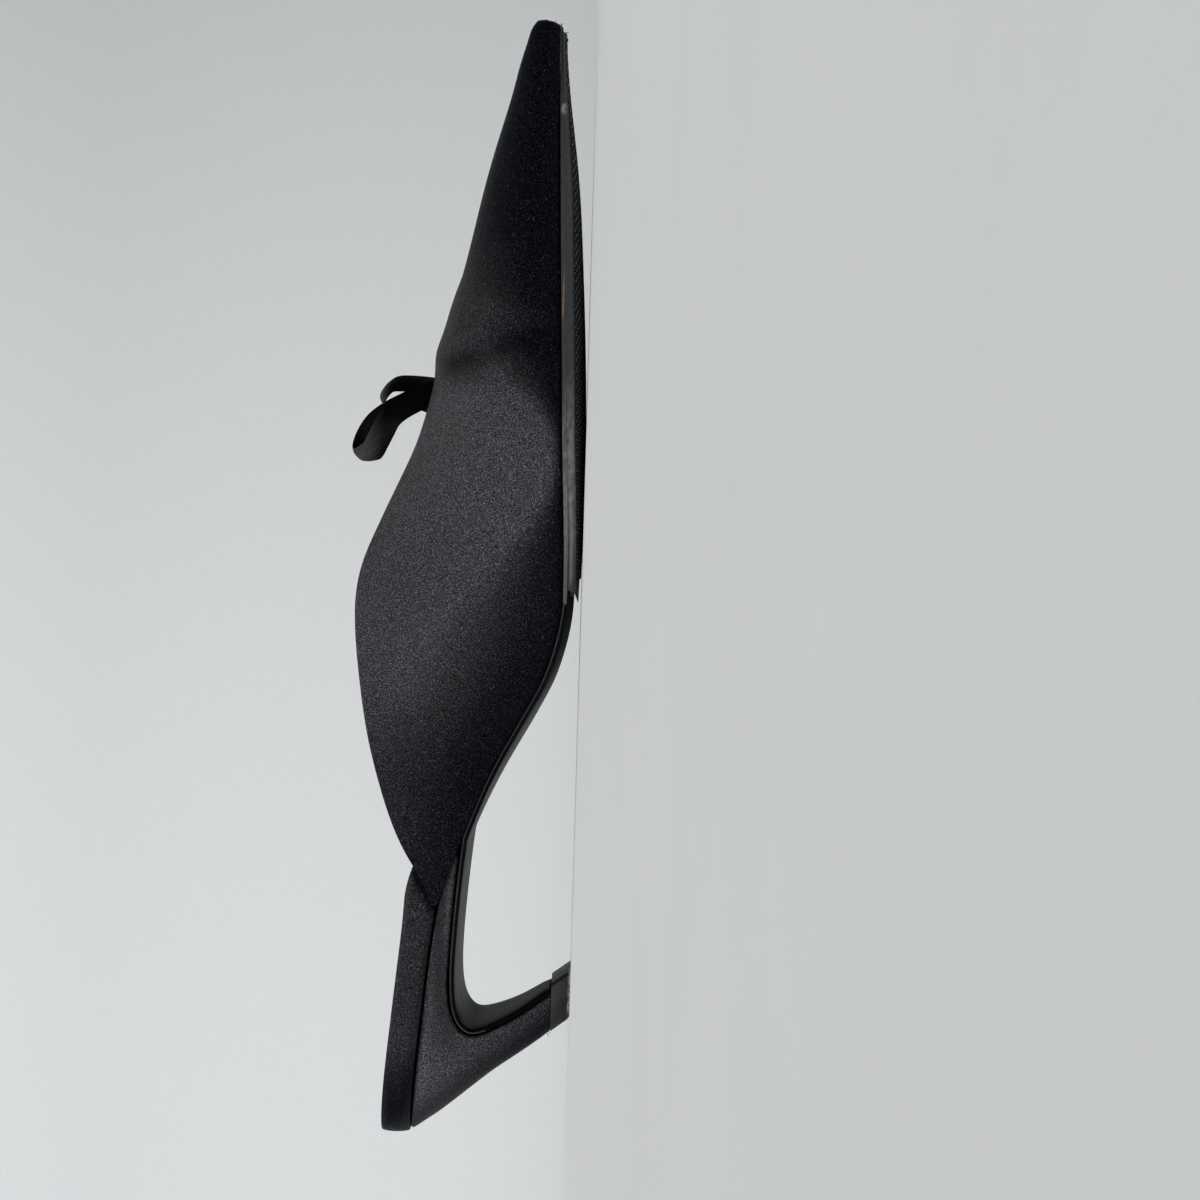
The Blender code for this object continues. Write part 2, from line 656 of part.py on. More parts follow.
def tie():
    """The ribbon sewn inside both flaps, which crosses the throat from edge to edge under the knot."""
    inside = WALL + GAP + RIBBON_THICK
    halves = {}
    for side in (-1, 1):
        halves[side] = []
        for angle in TIE_ANGLES:
            up = wall_point(KNOT.x, side, angle + 1) - wall_point(KNOT.x, side, angle - 1)
            wide = wall_point(KNOT.x + 1, side, angle) - wall_point(KNOT.x - 1, side, angle)
            out = side * up.cross(wide).normalized()
            halves[side].append((wall_point(KNOT.x, side, angle) - out * inside, wide.normalized()))
    under = KNOT - Vector((0, 0, KNOT_SIZE.z / 2 + GAP + RIBBON_THICK))
    flat = Vector((1, 0, 0))
    middle = [(under + Vector((0, step, 0)), flat) for step in (-KNOT_SIZE.y / 2, 0.0, KNOT_SIZE.y / 2)]
    rows = halves[-1] + middle + halves[1][::-1]
    ribbon("ribbon_tie", [row[0] for row in rows], [row[1] for row in rows])


def bow_knot():
    """The knot: a soft block where the ribbons meet."""
    bm = bmesh.new()
    bmesh.ops.create_cube(bm, size=1.0)
    for vert in bm.verts:
        vert.co = Vector(a * b for a, b in zip(vert.co, KNOT_SIZE)) + KNOT
    bmesh.ops.bevel(
        bm, geom=bm.edges[:], offset=KNOT_ROUND, segments=3, profile=0.5, affect="EDGES", material=-1
    )
    make_object("bow_knot", bm, RIBBON)


for old in list(bpy.data.objects):
    bpy.data.objects.remove(old)
shoe = bpy.data.objects.new("bow_mule", None)
bpy.context.scene.collection.objects.link(shoe)

upper()
insole()
outsole()
grip_pad()
heel()
top_piece()
tie()
bow_knot()
standing_loop("bow_loop_medial", LOOP_MEDIAL)
lying_ribbon("bow_loop_lateral", LOOP_LATERAL)
standing_tail("bow_tail_medial", TAIL_MEDIAL)
lying_ribbon("bow_tail_lateral", TAIL_LATERAL)
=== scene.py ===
# %% [markdown]
# # Dressing a satin mule
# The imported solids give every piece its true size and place. This lesson dresses them: woven satin over
# the upper, seat and heel, lacquered leather underneath, a studded rubber pad, and a ribbon bow. Each
# step makes one piece or one finish, and prints what it made.

# %% Load the frame
import math
import random

import bmesh
import bpy
from mathutils import Matrix, Vector
from mathutils.bvhtree import BVHTree


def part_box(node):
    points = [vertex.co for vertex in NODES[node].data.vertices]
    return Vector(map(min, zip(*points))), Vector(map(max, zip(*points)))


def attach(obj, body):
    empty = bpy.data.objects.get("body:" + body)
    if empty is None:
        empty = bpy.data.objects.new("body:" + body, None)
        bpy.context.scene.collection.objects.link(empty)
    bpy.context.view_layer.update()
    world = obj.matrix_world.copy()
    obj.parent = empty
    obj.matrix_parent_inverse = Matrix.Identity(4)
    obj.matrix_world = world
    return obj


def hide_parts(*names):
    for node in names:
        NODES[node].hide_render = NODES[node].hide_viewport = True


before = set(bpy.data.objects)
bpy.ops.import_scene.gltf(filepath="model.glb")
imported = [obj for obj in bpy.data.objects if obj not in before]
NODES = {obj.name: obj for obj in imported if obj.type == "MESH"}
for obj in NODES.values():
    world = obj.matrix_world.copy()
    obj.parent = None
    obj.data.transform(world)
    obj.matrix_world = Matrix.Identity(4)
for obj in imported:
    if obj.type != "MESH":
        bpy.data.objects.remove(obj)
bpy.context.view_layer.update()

MM = 0.001
print("solids:", sorted(NODES))

# %% [markdown]
# ## Camera
# The picture looks squarely at the inner side of the shoe, with the toe upwards in the frame, so the
# camera lies at the floor and is rolled a quarter turn. The lens comes from the distance and the frame's
# breadth at the shoe. A camera can be turned with angles, but its three axes are easier to say here:
# right, up and back. The view transform is the plain one, because the filmic one lifts blacks, and this
# shoe is black all over.

# %% The camera
EYE_X = -5.3 * MM
EYE_AWAY = 450 * MM
EYE_HIGH = 0.6 * MM
FRAME_MM = 288
FRAME_LOW_MM = -4.5
LEAN = math.radians(1.67)
SENSOR_MM = 36

camera = bpy.data.objects.new("camera", bpy.data.cameras.new("camera"))
bpy.context.scene.collection.objects.link(camera)
bpy.context.scene.camera = camera
along, up = Vector((1, 0, 0)), Vector((0, 0, 1))
picture_up = along * math.cos(LEAN) + up * math.sin(LEAN)
picture_right = along * math.sin(LEAN) - up * math.cos(LEAN)
axes = Matrix((picture_right, picture_up, Vector((0, -1, 0)))).transposed()
camera.matrix_world = Matrix.Translation((EYE_X, -EYE_AWAY, EYE_HIGH)) @ axes.to_4x4()
camera.data.sensor_width = SENSOR_MM
camera.data.lens = SENSOR_MM * EYE_AWAY / (FRAME_MM * MM)
camera.data.shift_x = (EYE_HIGH / MM - FRAME_LOW_MM) / FRAME_MM
camera.data.clip_start = 0.2 * MM
bpy.context.scene.view_settings.view_transform = "Standard"
print("lens in mm:", round(camera.data.lens, 2), "shift:", round(camera.data.shift_x, 4))

# %% [markdown]
# ## Finishes
# A finish is a small tree of nodes. One function adds a node: its settings are the node's own properties,
# and each input takes a value, or the output of another node. Colours are written as they are seen on a
# screen, in hex, and one more function turns them into the linear values that light adds up in.

# %% Colour and node helpers


def colour(code):
    """A screen colour such as 20242a as linear red, green, blue and alpha."""
    parts = [int(code[i : i + 2], 16) / 255 for i in (0, 2, 4)]
    return tuple(v / 12.92 if v <= 0.04045 else ((v + 0.055) / 1.055) ** 2.4 for v in parts) + (1.0,)


def per_mm(size):
    """The scale that gives a pattern features of this many millimetres."""
    return 1 / (size * MM)


def add(tree, kind, settings=None, inputs=None):
    """Adds one node. An input takes a value, or an output socket that is linked to it."""
    node = tree.nodes.new(kind)
    for name, value in (settings or {}).items():
        setattr(node, name, value)
    for name, value in (inputs or {}).items():
        if isinstance(value, bpy.types.NodeSocket):
            tree.links.new(value, node.inputs[name])
        else:
            node.inputs[name].default_value = value
    return node


def finish(name, **values):
    """A new finish: its tree, its Principled shader with these values, and its object coordinates."""
    made = bpy.data.materials.new(name)
    made.use_nodes = True
    tree = made.node_tree
    shader = tree.nodes["Principled BSDF"]
    for socket, value in values.items():
        shader.inputs[socket.replace("_", " ")].default_value = value
    place = add(tree, "ShaderNodeTexCoord").outputs["Object"]
    return made, tree, shader, place


print("a middle grey of the screen, in linear light:", round(colour("808080")[0], 3))

# %% [markdown]
# ## Black satin
# Satin is woven so that long floats of shiny warp lie on its face. Black satin shows a broad, soft sheen
# where it faces the light, and a fine salt and pepper grain where single threads catch it. The threads
# are about 0.1 mm apart, too fine to show, so the grain is drawn at 0.24 mm. The sheen and the shade are
# painted into the colour: a warm grey-black for the painted sheen on the flaps, and a bluer black for the
# painted shade towards the toe and the sole line, mixed by the shade attribute of a piece. The grain is
# put in the colour and in the bump alike, so that it shows in the sheen as well as beside it.

# %% Black satin
GRAIN_MM = 0.24
GRAIN_DEEP = 0.09 * MM
SLUB_MM = 7.0
SLUB_DEEP = 0.5 * MM
# The part of the noise's range that the threads take up.
THREAD_LOW, THREAD_HIGH = 0.3, 0.74
# A power over 1 leaves most threads dull and lets a few of them catch the light.
CATCH = 2.2
# For a dull and a caught thread: how much deeper its shade is, and how much brighter its colour.
LIFT_DULL, LIFT_CAUGHT = 0.035, -0.13
SPARK_DULL, SPARK_CAUGHT = -0.65, 2.35
ROUGH_SPREAD = 0.1


def satin_finish(name, sheen_colour, painted_shade_colour, roughness, grain_share, index):
    """Satin: painted sheen and shade colours mixed by the piece's shade, and single threads that catch
    the light.
    """
    made, tree, shader, place = finish(name, IOR=index, Metallic=0.0)
    grain = add(
        tree,
        "ShaderNodeTexNoise",
        inputs={"Vector": place, "Scale": per_mm(GRAIN_MM), "Detail": 1.0, "Roughness": 0.5},
    ).outputs["Fac"]
    slub = add(
        tree,
        "ShaderNodeTexNoise",
        inputs={"Vector": place, "Scale": per_mm(SLUB_MM), "Detail": 3.0},
    ).outputs["Fac"]
    thread = add(
        tree,
        "ShaderNodeMapRange",
        inputs={"Value": grain, "From Min": THREAD_LOW, "From Max": THREAD_HIGH},
    ).outputs["Result"]
    caught = add(tree, "ShaderNodeMath", {"operation": "POWER"}, {0: thread, 1: CATCH}).outputs["Value"]
    # The shade attribute holds the painted sheen and painted shade that paint_shade writes.
    shade = add(tree, "ShaderNodeAttribute", {"attribute_name": "shade"}).outputs["Fac"]
    # A thread that is caught lies lighter than its place, so the grain shows in the deepest black too.
    lift = add(
        tree,
        "ShaderNodeMapRange",
        inputs={
            "Value": caught,
            "To Min": LIFT_DULL * grain_share,
            "To Max": LIFT_CAUGHT * grain_share,
        },
    ).outputs["Result"]
    lifted = add(tree, "ShaderNodeMath", {"operation": "ADD"}, {0: shade, 1: lift}).outputs["Value"]
    # The base colour mixes the painted sheen colour and the painted shade colour.
    base = add(
        tree,
        "ShaderNodeMix",
        {"data_type": "RGBA"},
        {"Factor": lifted, "A": colour(sheen_colour), "B": colour(painted_shade_colour)},
    ).outputs["Result"]
    spark = add(
        tree,
        "ShaderNodeMapRange",
        inputs={
            "Value": caught,
            "To Min": 1 + SPARK_DULL * grain_share,
            "To Max": 1 + SPARK_CAUGHT * grain_share,
        },
    ).outputs["Result"]
    grained = add(tree, "ShaderNodeVectorMath", {"operation": "SCALE"}, {"Vector": base, "Scale": spark})
    tree.links.new(grained.outputs["Vector"], shader.inputs["Base Color"])
    rough = add(
        tree,
        "ShaderNodeMapRange",
        inputs={
            "Value": grain,
            "From Min": 0.3,
            "From Max": 0.7,
            "To Min": roughness + ROUGH_SPREAD,
            "To Max": roughness - ROUGH_SPREAD,
        },
    ).outputs["Result"]
    tree.links.new(rough, shader.inputs["Roughness"])
    weave = add(
        tree,
        "ShaderNodeBump",
        inputs={"Height": grain, "Strength": 0.6, "Distance": GRAIN_DEEP},
    ).outputs["Normal"]
    cloth = add(
        tree,
        "ShaderNodeBump",
        inputs={"Height": slub, "Strength": 0.2, "Distance": SLUB_DEEP, "Normal": weave},
    ).outputs["Normal"]
    tree.links.new(cloth, shader.inputs["Normal"])
    return made


# Thick dress satin: a soft grey sheen, speckled by its threads. Cloth has an IOR near 1.5, but this one
# shines so little that a lower index, which leaves the sheen to the painted colour, comes closer. Its
# first colour is the painted sheen, the second the painted shade.
SATIN = satin_finish("black_duchess_satin", "4e4b4f", "03060b", 0.5, 1.1, 1.12)
# Narrow ribbon satin: blacker and smoother. Its first colour is a painted sheen, the second a painted
# shade.
RIBBON = satin_finish("black_satin_ribbon", "39383a", "030305", 0.42, 0.4, 1.12)
print("finishes:", SATIN.name, RIBBON.name)

# %% [markdown]
# ## Grain and marks
# Leather, rubber and thread have no weave, but a grain: two shades that a noise mixes, and a fine relief
# from the same noise. Wear is laid over it as marks. A mark could be painted on an image, but here it is
# a ball of influence round a place on the shoe, broken up by the grain, so that it needs no unwrapping.

# %% Grain and marks
# The share of a mark's reach that is fully marked, and how far the grain changes the roughness.
MARK_CORE = 0.3
GRAIN_SPREAD = 0.06


def near(tree, place, centre_mm, reach_mm):
    """1 at a place on the shoe, falling to 0 at a reach along each axis."""
    away = add(
        tree,
        "ShaderNodeVectorMath",
        {"operation": "SUBTRACT"},
        {0: place, 1: [v * MM for v in centre_mm]},
    ).outputs["Vector"]
    shares = add(
        tree,
        "ShaderNodeVectorMath",
        {"operation": "MULTIPLY"},
        {0: away, 1: [1 / (v * MM) for v in reach_mm]},
    ).outputs["Vector"]
    far = add(tree, "ShaderNodeVectorMath", {"operation": "LENGTH"}, {0: shares}).outputs["Value"]
    return add(
        tree,
        "ShaderNodeMapRange",
        {"interpolation_type": "SMOOTHSTEP"},
        {"Value": far, "From Min": 1.0, "From Max": MARK_CORE},
    ).outputs["Result"]


def grained_finish(name, dark, light, grain_mm, stretch, roughness, bump_mm, marks=(), **values):
    """Leather or rubber: two shades mixed by a grain, and marks of other colours laid over them."""
    made, tree, shader, place = finish(name, Metallic=0.0, **values)
    drawn = add(tree, "ShaderNodeMapping", inputs={"Vector": place, "Scale": stretch}).outputs["Vector"]
    grain = add(
        tree,
        "ShaderNodeTexNoise",
        inputs={"Vector": drawn, "Scale": per_mm(grain_mm), "Detail": 4.0, "Roughness": 0.62},
    ).outputs["Fac"]
    tint = add(
        tree,
        "ShaderNodeMapRange",
        inputs={"Value": grain, "From Min": 0.3, "From Max": 0.7},
    ).outputs["Result"]
    base = add(
        tree,
        "ShaderNodeMix",
        {"data_type": "RGBA"},
        {"Factor": tint, "A": colour(dark), "B": colour(light)},
    ).outputs["Result"]
    for code, centre_mm, reach_mm in marks:
        spot = near(tree, place, centre_mm, reach_mm)
        broken = add(
            tree,
            "ShaderNodeMath",
            {"operation": "MULTIPLY"},
            {0: spot, 1: tint},
        ).outputs["Value"]
        base = add(
            tree,
            "ShaderNodeMix",
            {"data_type": "RGBA"},
            {"Factor": broken, "A": base, "B": colour(code)},
        ).outputs["Result"]
    tree.links.new(base, shader.inputs["Base Color"])
    rough = add(
        tree,
        "ShaderNodeMapRange",
        inputs={
            "Value": grain,
            "To Min": roughness - GRAIN_SPREAD,
            "To Max": roughness + GRAIN_SPREAD,
        },
    ).outputs["Result"]
    tree.links.new(rough, shader.inputs["Roughness"])
    relief = add(
        tree,
        "ShaderNodeBump",
        inputs={"Height": grain, "Strength": 0.5, "Distance": bump_mm * MM},
    ).outputs["Normal"]
    tree.links.new(relief, shader.inputs["Normal"])
    return made


print("a mark of 2 mm fades from", round(MARK_CORE * 2, 1), "mm to 2 mm")

# %% [markdown]
# ## Leather and rubber
# The underside is leather, lacquered black. Its cut edge is inked and rubbed, so it is greyer and duller,
# and on the inner side it has a thin brown streak, a pale scuff near the toe, a rub under the ball and a
# darker end at the waist. The pad and the heel's top piece are moulded rubber, and the inside is lined
# with thin leather. All of them are the same grained finish with other numbers.

# %% Leather and rubber
EVEN = (1, 1, 1)
LENGTHWISE = (0.35, 1, 1)
# Each mark: its colour, its place, and its reach along, across and up.
STREAK = ("94785c", (61.5, -28.0, 6.0), (11.0, 9.0, 0.26))
SCUFF = ("a4a4a2", (108.5, -14.0, 7.2), (2.0, 6.0, 1.1))
RUB = ("6c6d6c", (23.0, -36.0, 3.8), (27.0, 14.0, 3.6))
DARK_END = ("131415", (-5.0, -36.0, 3.8), (15.0, 20.0, 6.0))
EDGE_MARKS = (STREAK, SCUFF, RUB, DARK_END)
# Lacquered sole leather: smooth and near black, with a gleam only towards the edge of sight.
LACQUER = grained_finish("black_lacquered_leather", "07080a", "0c0d10", 9.0, EVEN, 0.35, 0.06, IOR=1.05)
# Inked leather edge: rubbed grey, with fine scratches along the sole.
EDGE = grained_finish("inked_sole_edge", "2f3031", "3e3f40", 0.7, LENGTHWISE, 0.5, 0.06, EDGE_MARKS)
# Moulded rubber: matt and dark, and worn pale on top of the studs by the floor, with a painted highlight
# there too.
PAD = grained_finish("moulded_grip_rubber", "161718", "222324", 0.7, LENGTHWISE, 0.5, 0.05)
STUDS = grained_finish("stud_tops_worn_and_highlit", "7c7d7f", "b8b9bb", 0.7, EVEN, 0.4, 0.02)
# The heel's rubber tip: matt, and scuffed pale where it lands.
TIP_SCUFFS = tuple(("c9c9c6", (-93.0 + step, -4.5, 0.0), (3.2, 5.0, 0.8)) for step in (-9, -5, -2, 1))
TIP = grained_finish("moulded_tip_rubber", "1c1d1e", "292a2b", 0.6, EVEN, 0.55, 0.04, TIP_SCUFFS, IOR=1.3)
# Kid lining and sock leather: dark and soft, with a fine grain.
LINING = grained_finish("black_kid_lining", "111112", "1b1b1c", 0.9, EVEN, 0.5, 0.08)
SOCK = grained_finish("black_sock_leather", "131314", "1d1d1e", 1.2, EVEN, 0.42, 0.06)
# Silk thread shines a little, and lint is a pale, dull grey.
THREAD = grained_finish("black_silk_thread", "1b1b1d", "2c2c2f", 0.5, EVEN, 0.5, 0.01)
FLUFF = grained_finish("grey_lint", "363638", "58585a", 0.5, EVEN, 0.7, 0.01)
print("finishes:", len(bpy.data.materials))

# %% [markdown]
# ## Copies of the solids
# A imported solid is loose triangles. A copy is merged, and its triangles are joined back into quads,
# because a subdivision surface is smooth only on quads. Edges that turn sharply get a crease, so a fold
# stays a fold. The solid itself stays as it is, hidden, for the physics.

# %% Copying a solid


def quads(node):
    """A bmesh copy of a solid, merged and joined into quads."""
    bm = bmesh.new()
    bm.from_mesh(NODES[node].data)
    bmesh.ops.remove_doubles(bm, verts=bm.verts, dist=0.001 * MM)
    bmesh.ops.join_triangles(
        bm,
        faces=bm.faces,
        angle_face_threshold=math.radians(50),
        angle_shape_threshold=math.radians(60),
    )
    return bm


def crease(bm, degrees, share):
    """Creases every edge that turns by more than some degrees."""
    layer = bm.edges.layers.float.get("crease_edge") or bm.edges.layers.float.new("crease_edge")
    for edge in bm.edges:
        if edge.calc_face_angle(0) > math.radians(degrees):
            edge[layer] = share


def piece(name, bm, finishes, replaced=()):
    """Makes a bmesh a piece of the shoe, in its finishes, in the place of these solids."""
    mesh = bpy.data.meshes.new(name)
    bm.to_mesh(mesh)
    bm.free()
    mesh.shade_smooth()
    obj = bpy.data.objects.new(name, mesh)
    bpy.context.scene.collection.objects.link(obj)
    for made in finishes:
        mesh.materials.append(made)
    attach(obj, "root")
    if replaced:
        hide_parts(*replaced)
    return obj


def subdivide(obj, levels):
    """Smooths a piece with a subdivision surface, and makes the result its mesh."""
    smooth = obj.modifiers.new("smooth", "SUBSURF")
    smooth.levels = levels
    smooth.render_levels = levels
    settle(obj)


def settle(obj):
    """Makes what a piece's modifiers show its own mesh."""
    graph = bpy.context.evaluated_depsgraph_get()
    mesh = bpy.data.meshes.new_from_object(obj.evaluated_get(graph))
    obj.modifiers.clear()
    obj.data = mesh


print("triangles in the solids:", sum(len(node.data.polygons) for node in NODES.values()))

# %% [markdown]
# ## The shade of the satin
# The satin is painted with its sheen and shade: greyer, as a painted sheen, over the flaps, and near
# black, as painted shade, in the hollows. An attribute on the mesh says how deep the painted shade is at
# each vertex, and the finish mixes its two colours by it. A rule gives the shade from the place, and a
# nearest-place search adds a painted shadow where another solid lies close.

# %% The shade of the satin
CREVICE = 1.2 * MM
CREVICE_SHADE = 1.1
# A little over 1, so that fewer threads catch the light in a crevice.
DEEPEST = 1.04


def rise(x, start, run):
    """0 before a start, 1 after a run from it, and soft between. A run below 0 goes the other way."""
    t = min(max((x - start) / run, 0.0), 1.0)
    return t * t * (3 - 2 * t)


def swell(x, middle, half):
    """1 at a middle, falling softly to both sides of it."""
    return math.exp(-(((x - middle) / half) ** 2))


def skin(mesh):
    """A mesh as a tree that rays and nearest places can be asked of."""
    corners = [vert.co for vert in mesh.vertices]
    return BVHTree.FromPolygons(corners, [face.vertices[:] for face in mesh.polygons])


def paint_shade(obj, rule, beside=()):
    """Writes the painted shade of the satin at each vertex: by a rule for its place in millimetres, and
    deepest, as a painted shadow, where another solid lies beside it and light doesn't reach into the
    crevice."""
    skins = [skin(NODES[node].data) for node in beside]
    layer = obj.data.attributes.new("shade", "FLOAT", "POINT")
    for vert, value in zip(obj.data.vertices, layer.data):
        shade = rule(vert.co / MM)
        # A painted shadow where another solid lies close.
        for other in skins:
            away = other.find_nearest(vert.co)[3]
            shade = max(shade, CREVICE_SHADE * swell(away, 0.0, CREVICE))
        value.value = min(shade, DEEPEST)


print("a soft rise at a quarter of its way:", round(rise(0.25, 0.0, 1.0), 3))

# %% [markdown]
# ## Folds of the upper
# The upper is satin and lining glued together and pulled over a last. Where the foot bends, the vamp has
# a trough from the foot of the throat to the sole, and a swell on each side of it. They could be
# sculpted, but a fold is plainer to say as a soft line in the side view: its two ends, its half width and
# its depth.

# %% Folds of the upper
# The middle of the shoe's inside at the flaps, and how far it has moved at the toe.
CORE_Y, CORE_Z = -2.5, 22.0
FRONT_Y, FRONT_Z = -1.5, -10.5
FRONT_ALONG = (50.0, 75.0)


def core(x):
    """The middle of the shoe's inside at a place along it."""
    front = rise(x, *FRONT_ALONG)
    return Vector((x, CORE_Y + FRONT_Y * front, CORE_Z + FRONT_Z * front))


# Each fold: start x and z, end x and z, half width, and how far it stands out (troughs go in).
FOLDS_MEDIAL = (
    (48.5, 29.5, 55.0, 11.5, 2.9, -1.3),
    (55.5, 29.0, 60.0, 13.0, 3.2, 0.7),
    (41.5, 26.0, 48.0, 10.5, 4.0, 0.45),
)
FOLDS_LATERAL = (
    (51.0, 26.0, 53.0, 9.0, 4.5, -0.6),
    (59.0, 22.0, 60.0, 11.0, 5.0, 0.4),
)


def fold_push(folds, x, z):
    """How far the folds push the wall out at a place in the side view."""
    push = 0.0
    for x0, z0, x1, z1, half, out in folds:
        run, climb = x1 - x0, z1 - z0
        t = min(max(((x - x0) * run + (z - z0) * climb) / (run * run + climb * climb), 0.0), 1.0)
        away = math.hypot(x - x0 - t * run, z - z0 - t * climb)
        push += out * swell(away, 0.0, half)
    return push


# The same way: where painted shade deepens the satin (in the trough) and a painted sheen lightens it (on
# the swells).
FOLD_SHADES = (
    (51.8, 19.0, 53.5, 11.0, 3.0, 0.12),
    (48.3, 31.0, 49.5, 27.0, 2.9, 0.22),
    (60.0, 22.0, 58.5, 14.0, 3.2, -0.30),
    (46.0, 20.0, 48.5, 15.0, 3.0, -0.26),
)
print("push in the middle of the trough, in mm:", round(fold_push(FOLDS_MEDIAL, 52.0, 20.0), 2))

# %% [markdown]
# ## The upper
# The wall comes from the solid, smoothed. Faces that look into the shoe take the lining, and the others
# the satin. Then each vertex is pushed by the folds, and by a few soft lifts that follow the real shoe:
# the tip of the toe, the rolled edge of the collar, and the flaps' ends, which stand a little off the
# seat.

# %% The upper
RIM_DOWN = 0.25 * MM
LINED_TO = 120.0
# How far the flaps' ends, the nose, the toe, the flaps' edges and the throat are moved, in millimetres,
# and where: the start and run of a rise, or the middle and half width of a swell.
FLAP_OUT = 0.3
FLAP_ENDS = (-58.0, -24.0)
NOSE_OUT = 0.7
NOSE_MIDDLE = (10.6, 2.2)
NOSE_TIP = (127.5, 3.5)
TOE_UP = 1.1
TOE_MIDDLE = (125.0, 9.0)
TOE_TOP = (9.0, 6.0)
EDGE_LIFT = 1.3
EDGE_FRONT = (12.0, -22.0)
EDGE_REAR = (-77.0, 14.0)
EDGE_TOP = (28.0, 12.0)
THROAT_UP = 1.0
THROAT_MIDDLE = (51.5, 4.5)
THROAT_TOP = (25.0, 8.0)

bm = quads("upper")
crease(bm, 40, 0.8)
rim = {vert for face in bm.faces if face.normal.z < -0.7 for vert in face.verts}
for vert in rim:
    vert.co.z -= RIM_DOWN
for face in bm.faces:
    middle = face.calc_center_median() / MM
    out = (middle - core(middle.x)).normalized()
    at_nose = middle.x > LINED_TO and face.normal.x > 0.3
    face.material_index = 1 if face.normal.dot(out) < -0.25 and not at_nose else 0
upper = piece("satin_upper", bm, (SATIN, LINING), ("upper",))
subdivide(upper, 2)
for vert in upper.data.vertices:
    at = vert.co / MM
    out = (at - core(at.x)).normalized()
    medial = at.y < core(at.x).y
    folds = FOLDS_MEDIAL if medial else FOLDS_LATERAL
    vert.co += out * fold_push(folds, at.x, at.z) * MM
    flare = FLAP_OUT * rise(at.x, *FLAP_ENDS) * (1 if at.y > 0 else -1)
    vert.co.y += flare * MM
    nose = NOSE_OUT * swell(at.z, *NOSE_MIDDLE)
    vert.co.x += nose * rise(at.x, *NOSE_TIP) * MM
    toe = TOE_UP * swell(at.x, *TOE_MIDDLE)
    vert.co.z += toe * rise(at.z, *TOE_TOP) * MM
    lift = EDGE_LIFT * rise(at.x, *EDGE_FRONT) * rise(at.x, *EDGE_REAR)
    vert.co.z += lift * rise(at.z, *EDGE_TOP) * MM
    if medial:
        throat = THROAT_UP * swell(at.x, *THROAT_MIDDLE)
        vert.co.z += throat * rise(at.z, *THROAT_TOP) * MM
print("upper: faces", len(upper.data.polygons))

# %% [markdown]
# ## The upper's shade
# The satin's painted sheen is lightest on the flaps. Painted shade deepens it towards the toe, towards
# the flaps' ends and along the sole line, where the cloth turns under, and in the trough, and a painted
# sheen lightens the swells. All of it is by place, so it stays when the shoe turns.

# %% The upper's shade
FLAP_SHADE = 0.30
# Each rise of painted shade: how much it adds, where along the shoe it starts, and its run (below 0
# backwards).
SHADE_RISES = (
    (0.41, 37.0, 12.0),
    (0.28, 60.0, 24.0),
    (0.20, 26.0, -34.0),
    (0.24, -20.0, -26.0),
    (0.20, -70.0, -8.0),
)
# How far up from the sole line the painted shade reaches, in millimetres, by the same kind of rises.
BAND_MM = 2.2
BAND_RISES = (
    (25.5, 24.0, -42.0),
    (18.0, 29.0, 25.0),
)
SOLE_LINE_MM = 5.0
SOLE_RISES = ((3.5, 10.0, 100.0),)
ARCH_SLOPE = 0.42
ARCH_FROM = -10.0
ARCH_LONG = 35.0


def rises(rows, x):
    """The sum of soft rises along the shoe."""
    return sum(much * rise(x, start, run) for much, start, run in rows)


def sole_line(x):
    """The height of the sole's upper edge, which springs up to the toe and climbs along the arch."""
    arch = ARCH_SLOPE * min(max(ARCH_FROM - x, 0.0), ARCH_LONG)
    return SOLE_LINE_MM + rises(SOLE_RISES, x) + arch


def upper_shade(at):
    """Painted sheen, lightest on the flaps; painted shade, deeper towards the toe and the back, black at
    the sole line.
    """
    lengthwise = FLAP_SHADE + rises(SHADE_RISES, at.x)
    band = BAND_MM + rises(BAND_RISES, at.x)
    fade = min(max(at.z - sole_line(at.x), 0.0) / band, 1.0) ** 2
    folds = fold_push(FOLD_SHADES, at.x, at.z) if at.y < core(at.x).y else 0.0
    return 1.0 - (1.0 - lengthwise - folds) * fade


# A painted shadow is added where the heel and the insole lie beside the upper.
paint_shade(upper, upper_shade, ("heel", "insole"))
shades = [value.value for value in upper.data.attributes["shade"].data]
print("upper: mean shade", round(sum(shades) / len(shades), 2))

# %% [markdown]
# ## Insole and sock
# The insole is a padded board wrapped in satin, which shows as a thick rim round the open seat. A leather
# sock is glued on top, a little in from the edge. Insetting the top faces gives the sock its outline, and
# a second and third inset, down and up again, press the groove that runs round it. The board is stiff and
# its foam thin, so a subdivision surface gives its softness, and its rim swells a little where the flaps
# cross it.

# %% Insole and sock
SOCK_INSET = 2.2 * MM
SOCK_GROOVE = 0.35 * MM
GROOVE_WIDE = 0.3 * MM
SEAT_LIFT = 1.3
SEAT_MIDDLE = (-66.0, 10.0)
SEAT_SIDES = (13.0, 8.0)
SEAT_TOP = (29.0, 5.0)
# How much the painted shade lightens towards the front of the seat, and where that starts and runs.
SEAT_LIGHT = 0.285
SEAT_BACK = (-119.0, 15.0)
# The line of the flap's edge on the seat's rim, where a shadow is painted, given as the folds are.
FLAP_EDGE = ((-65.5, 37.0, -75.5, 31.5, 1.1, 1.2),)

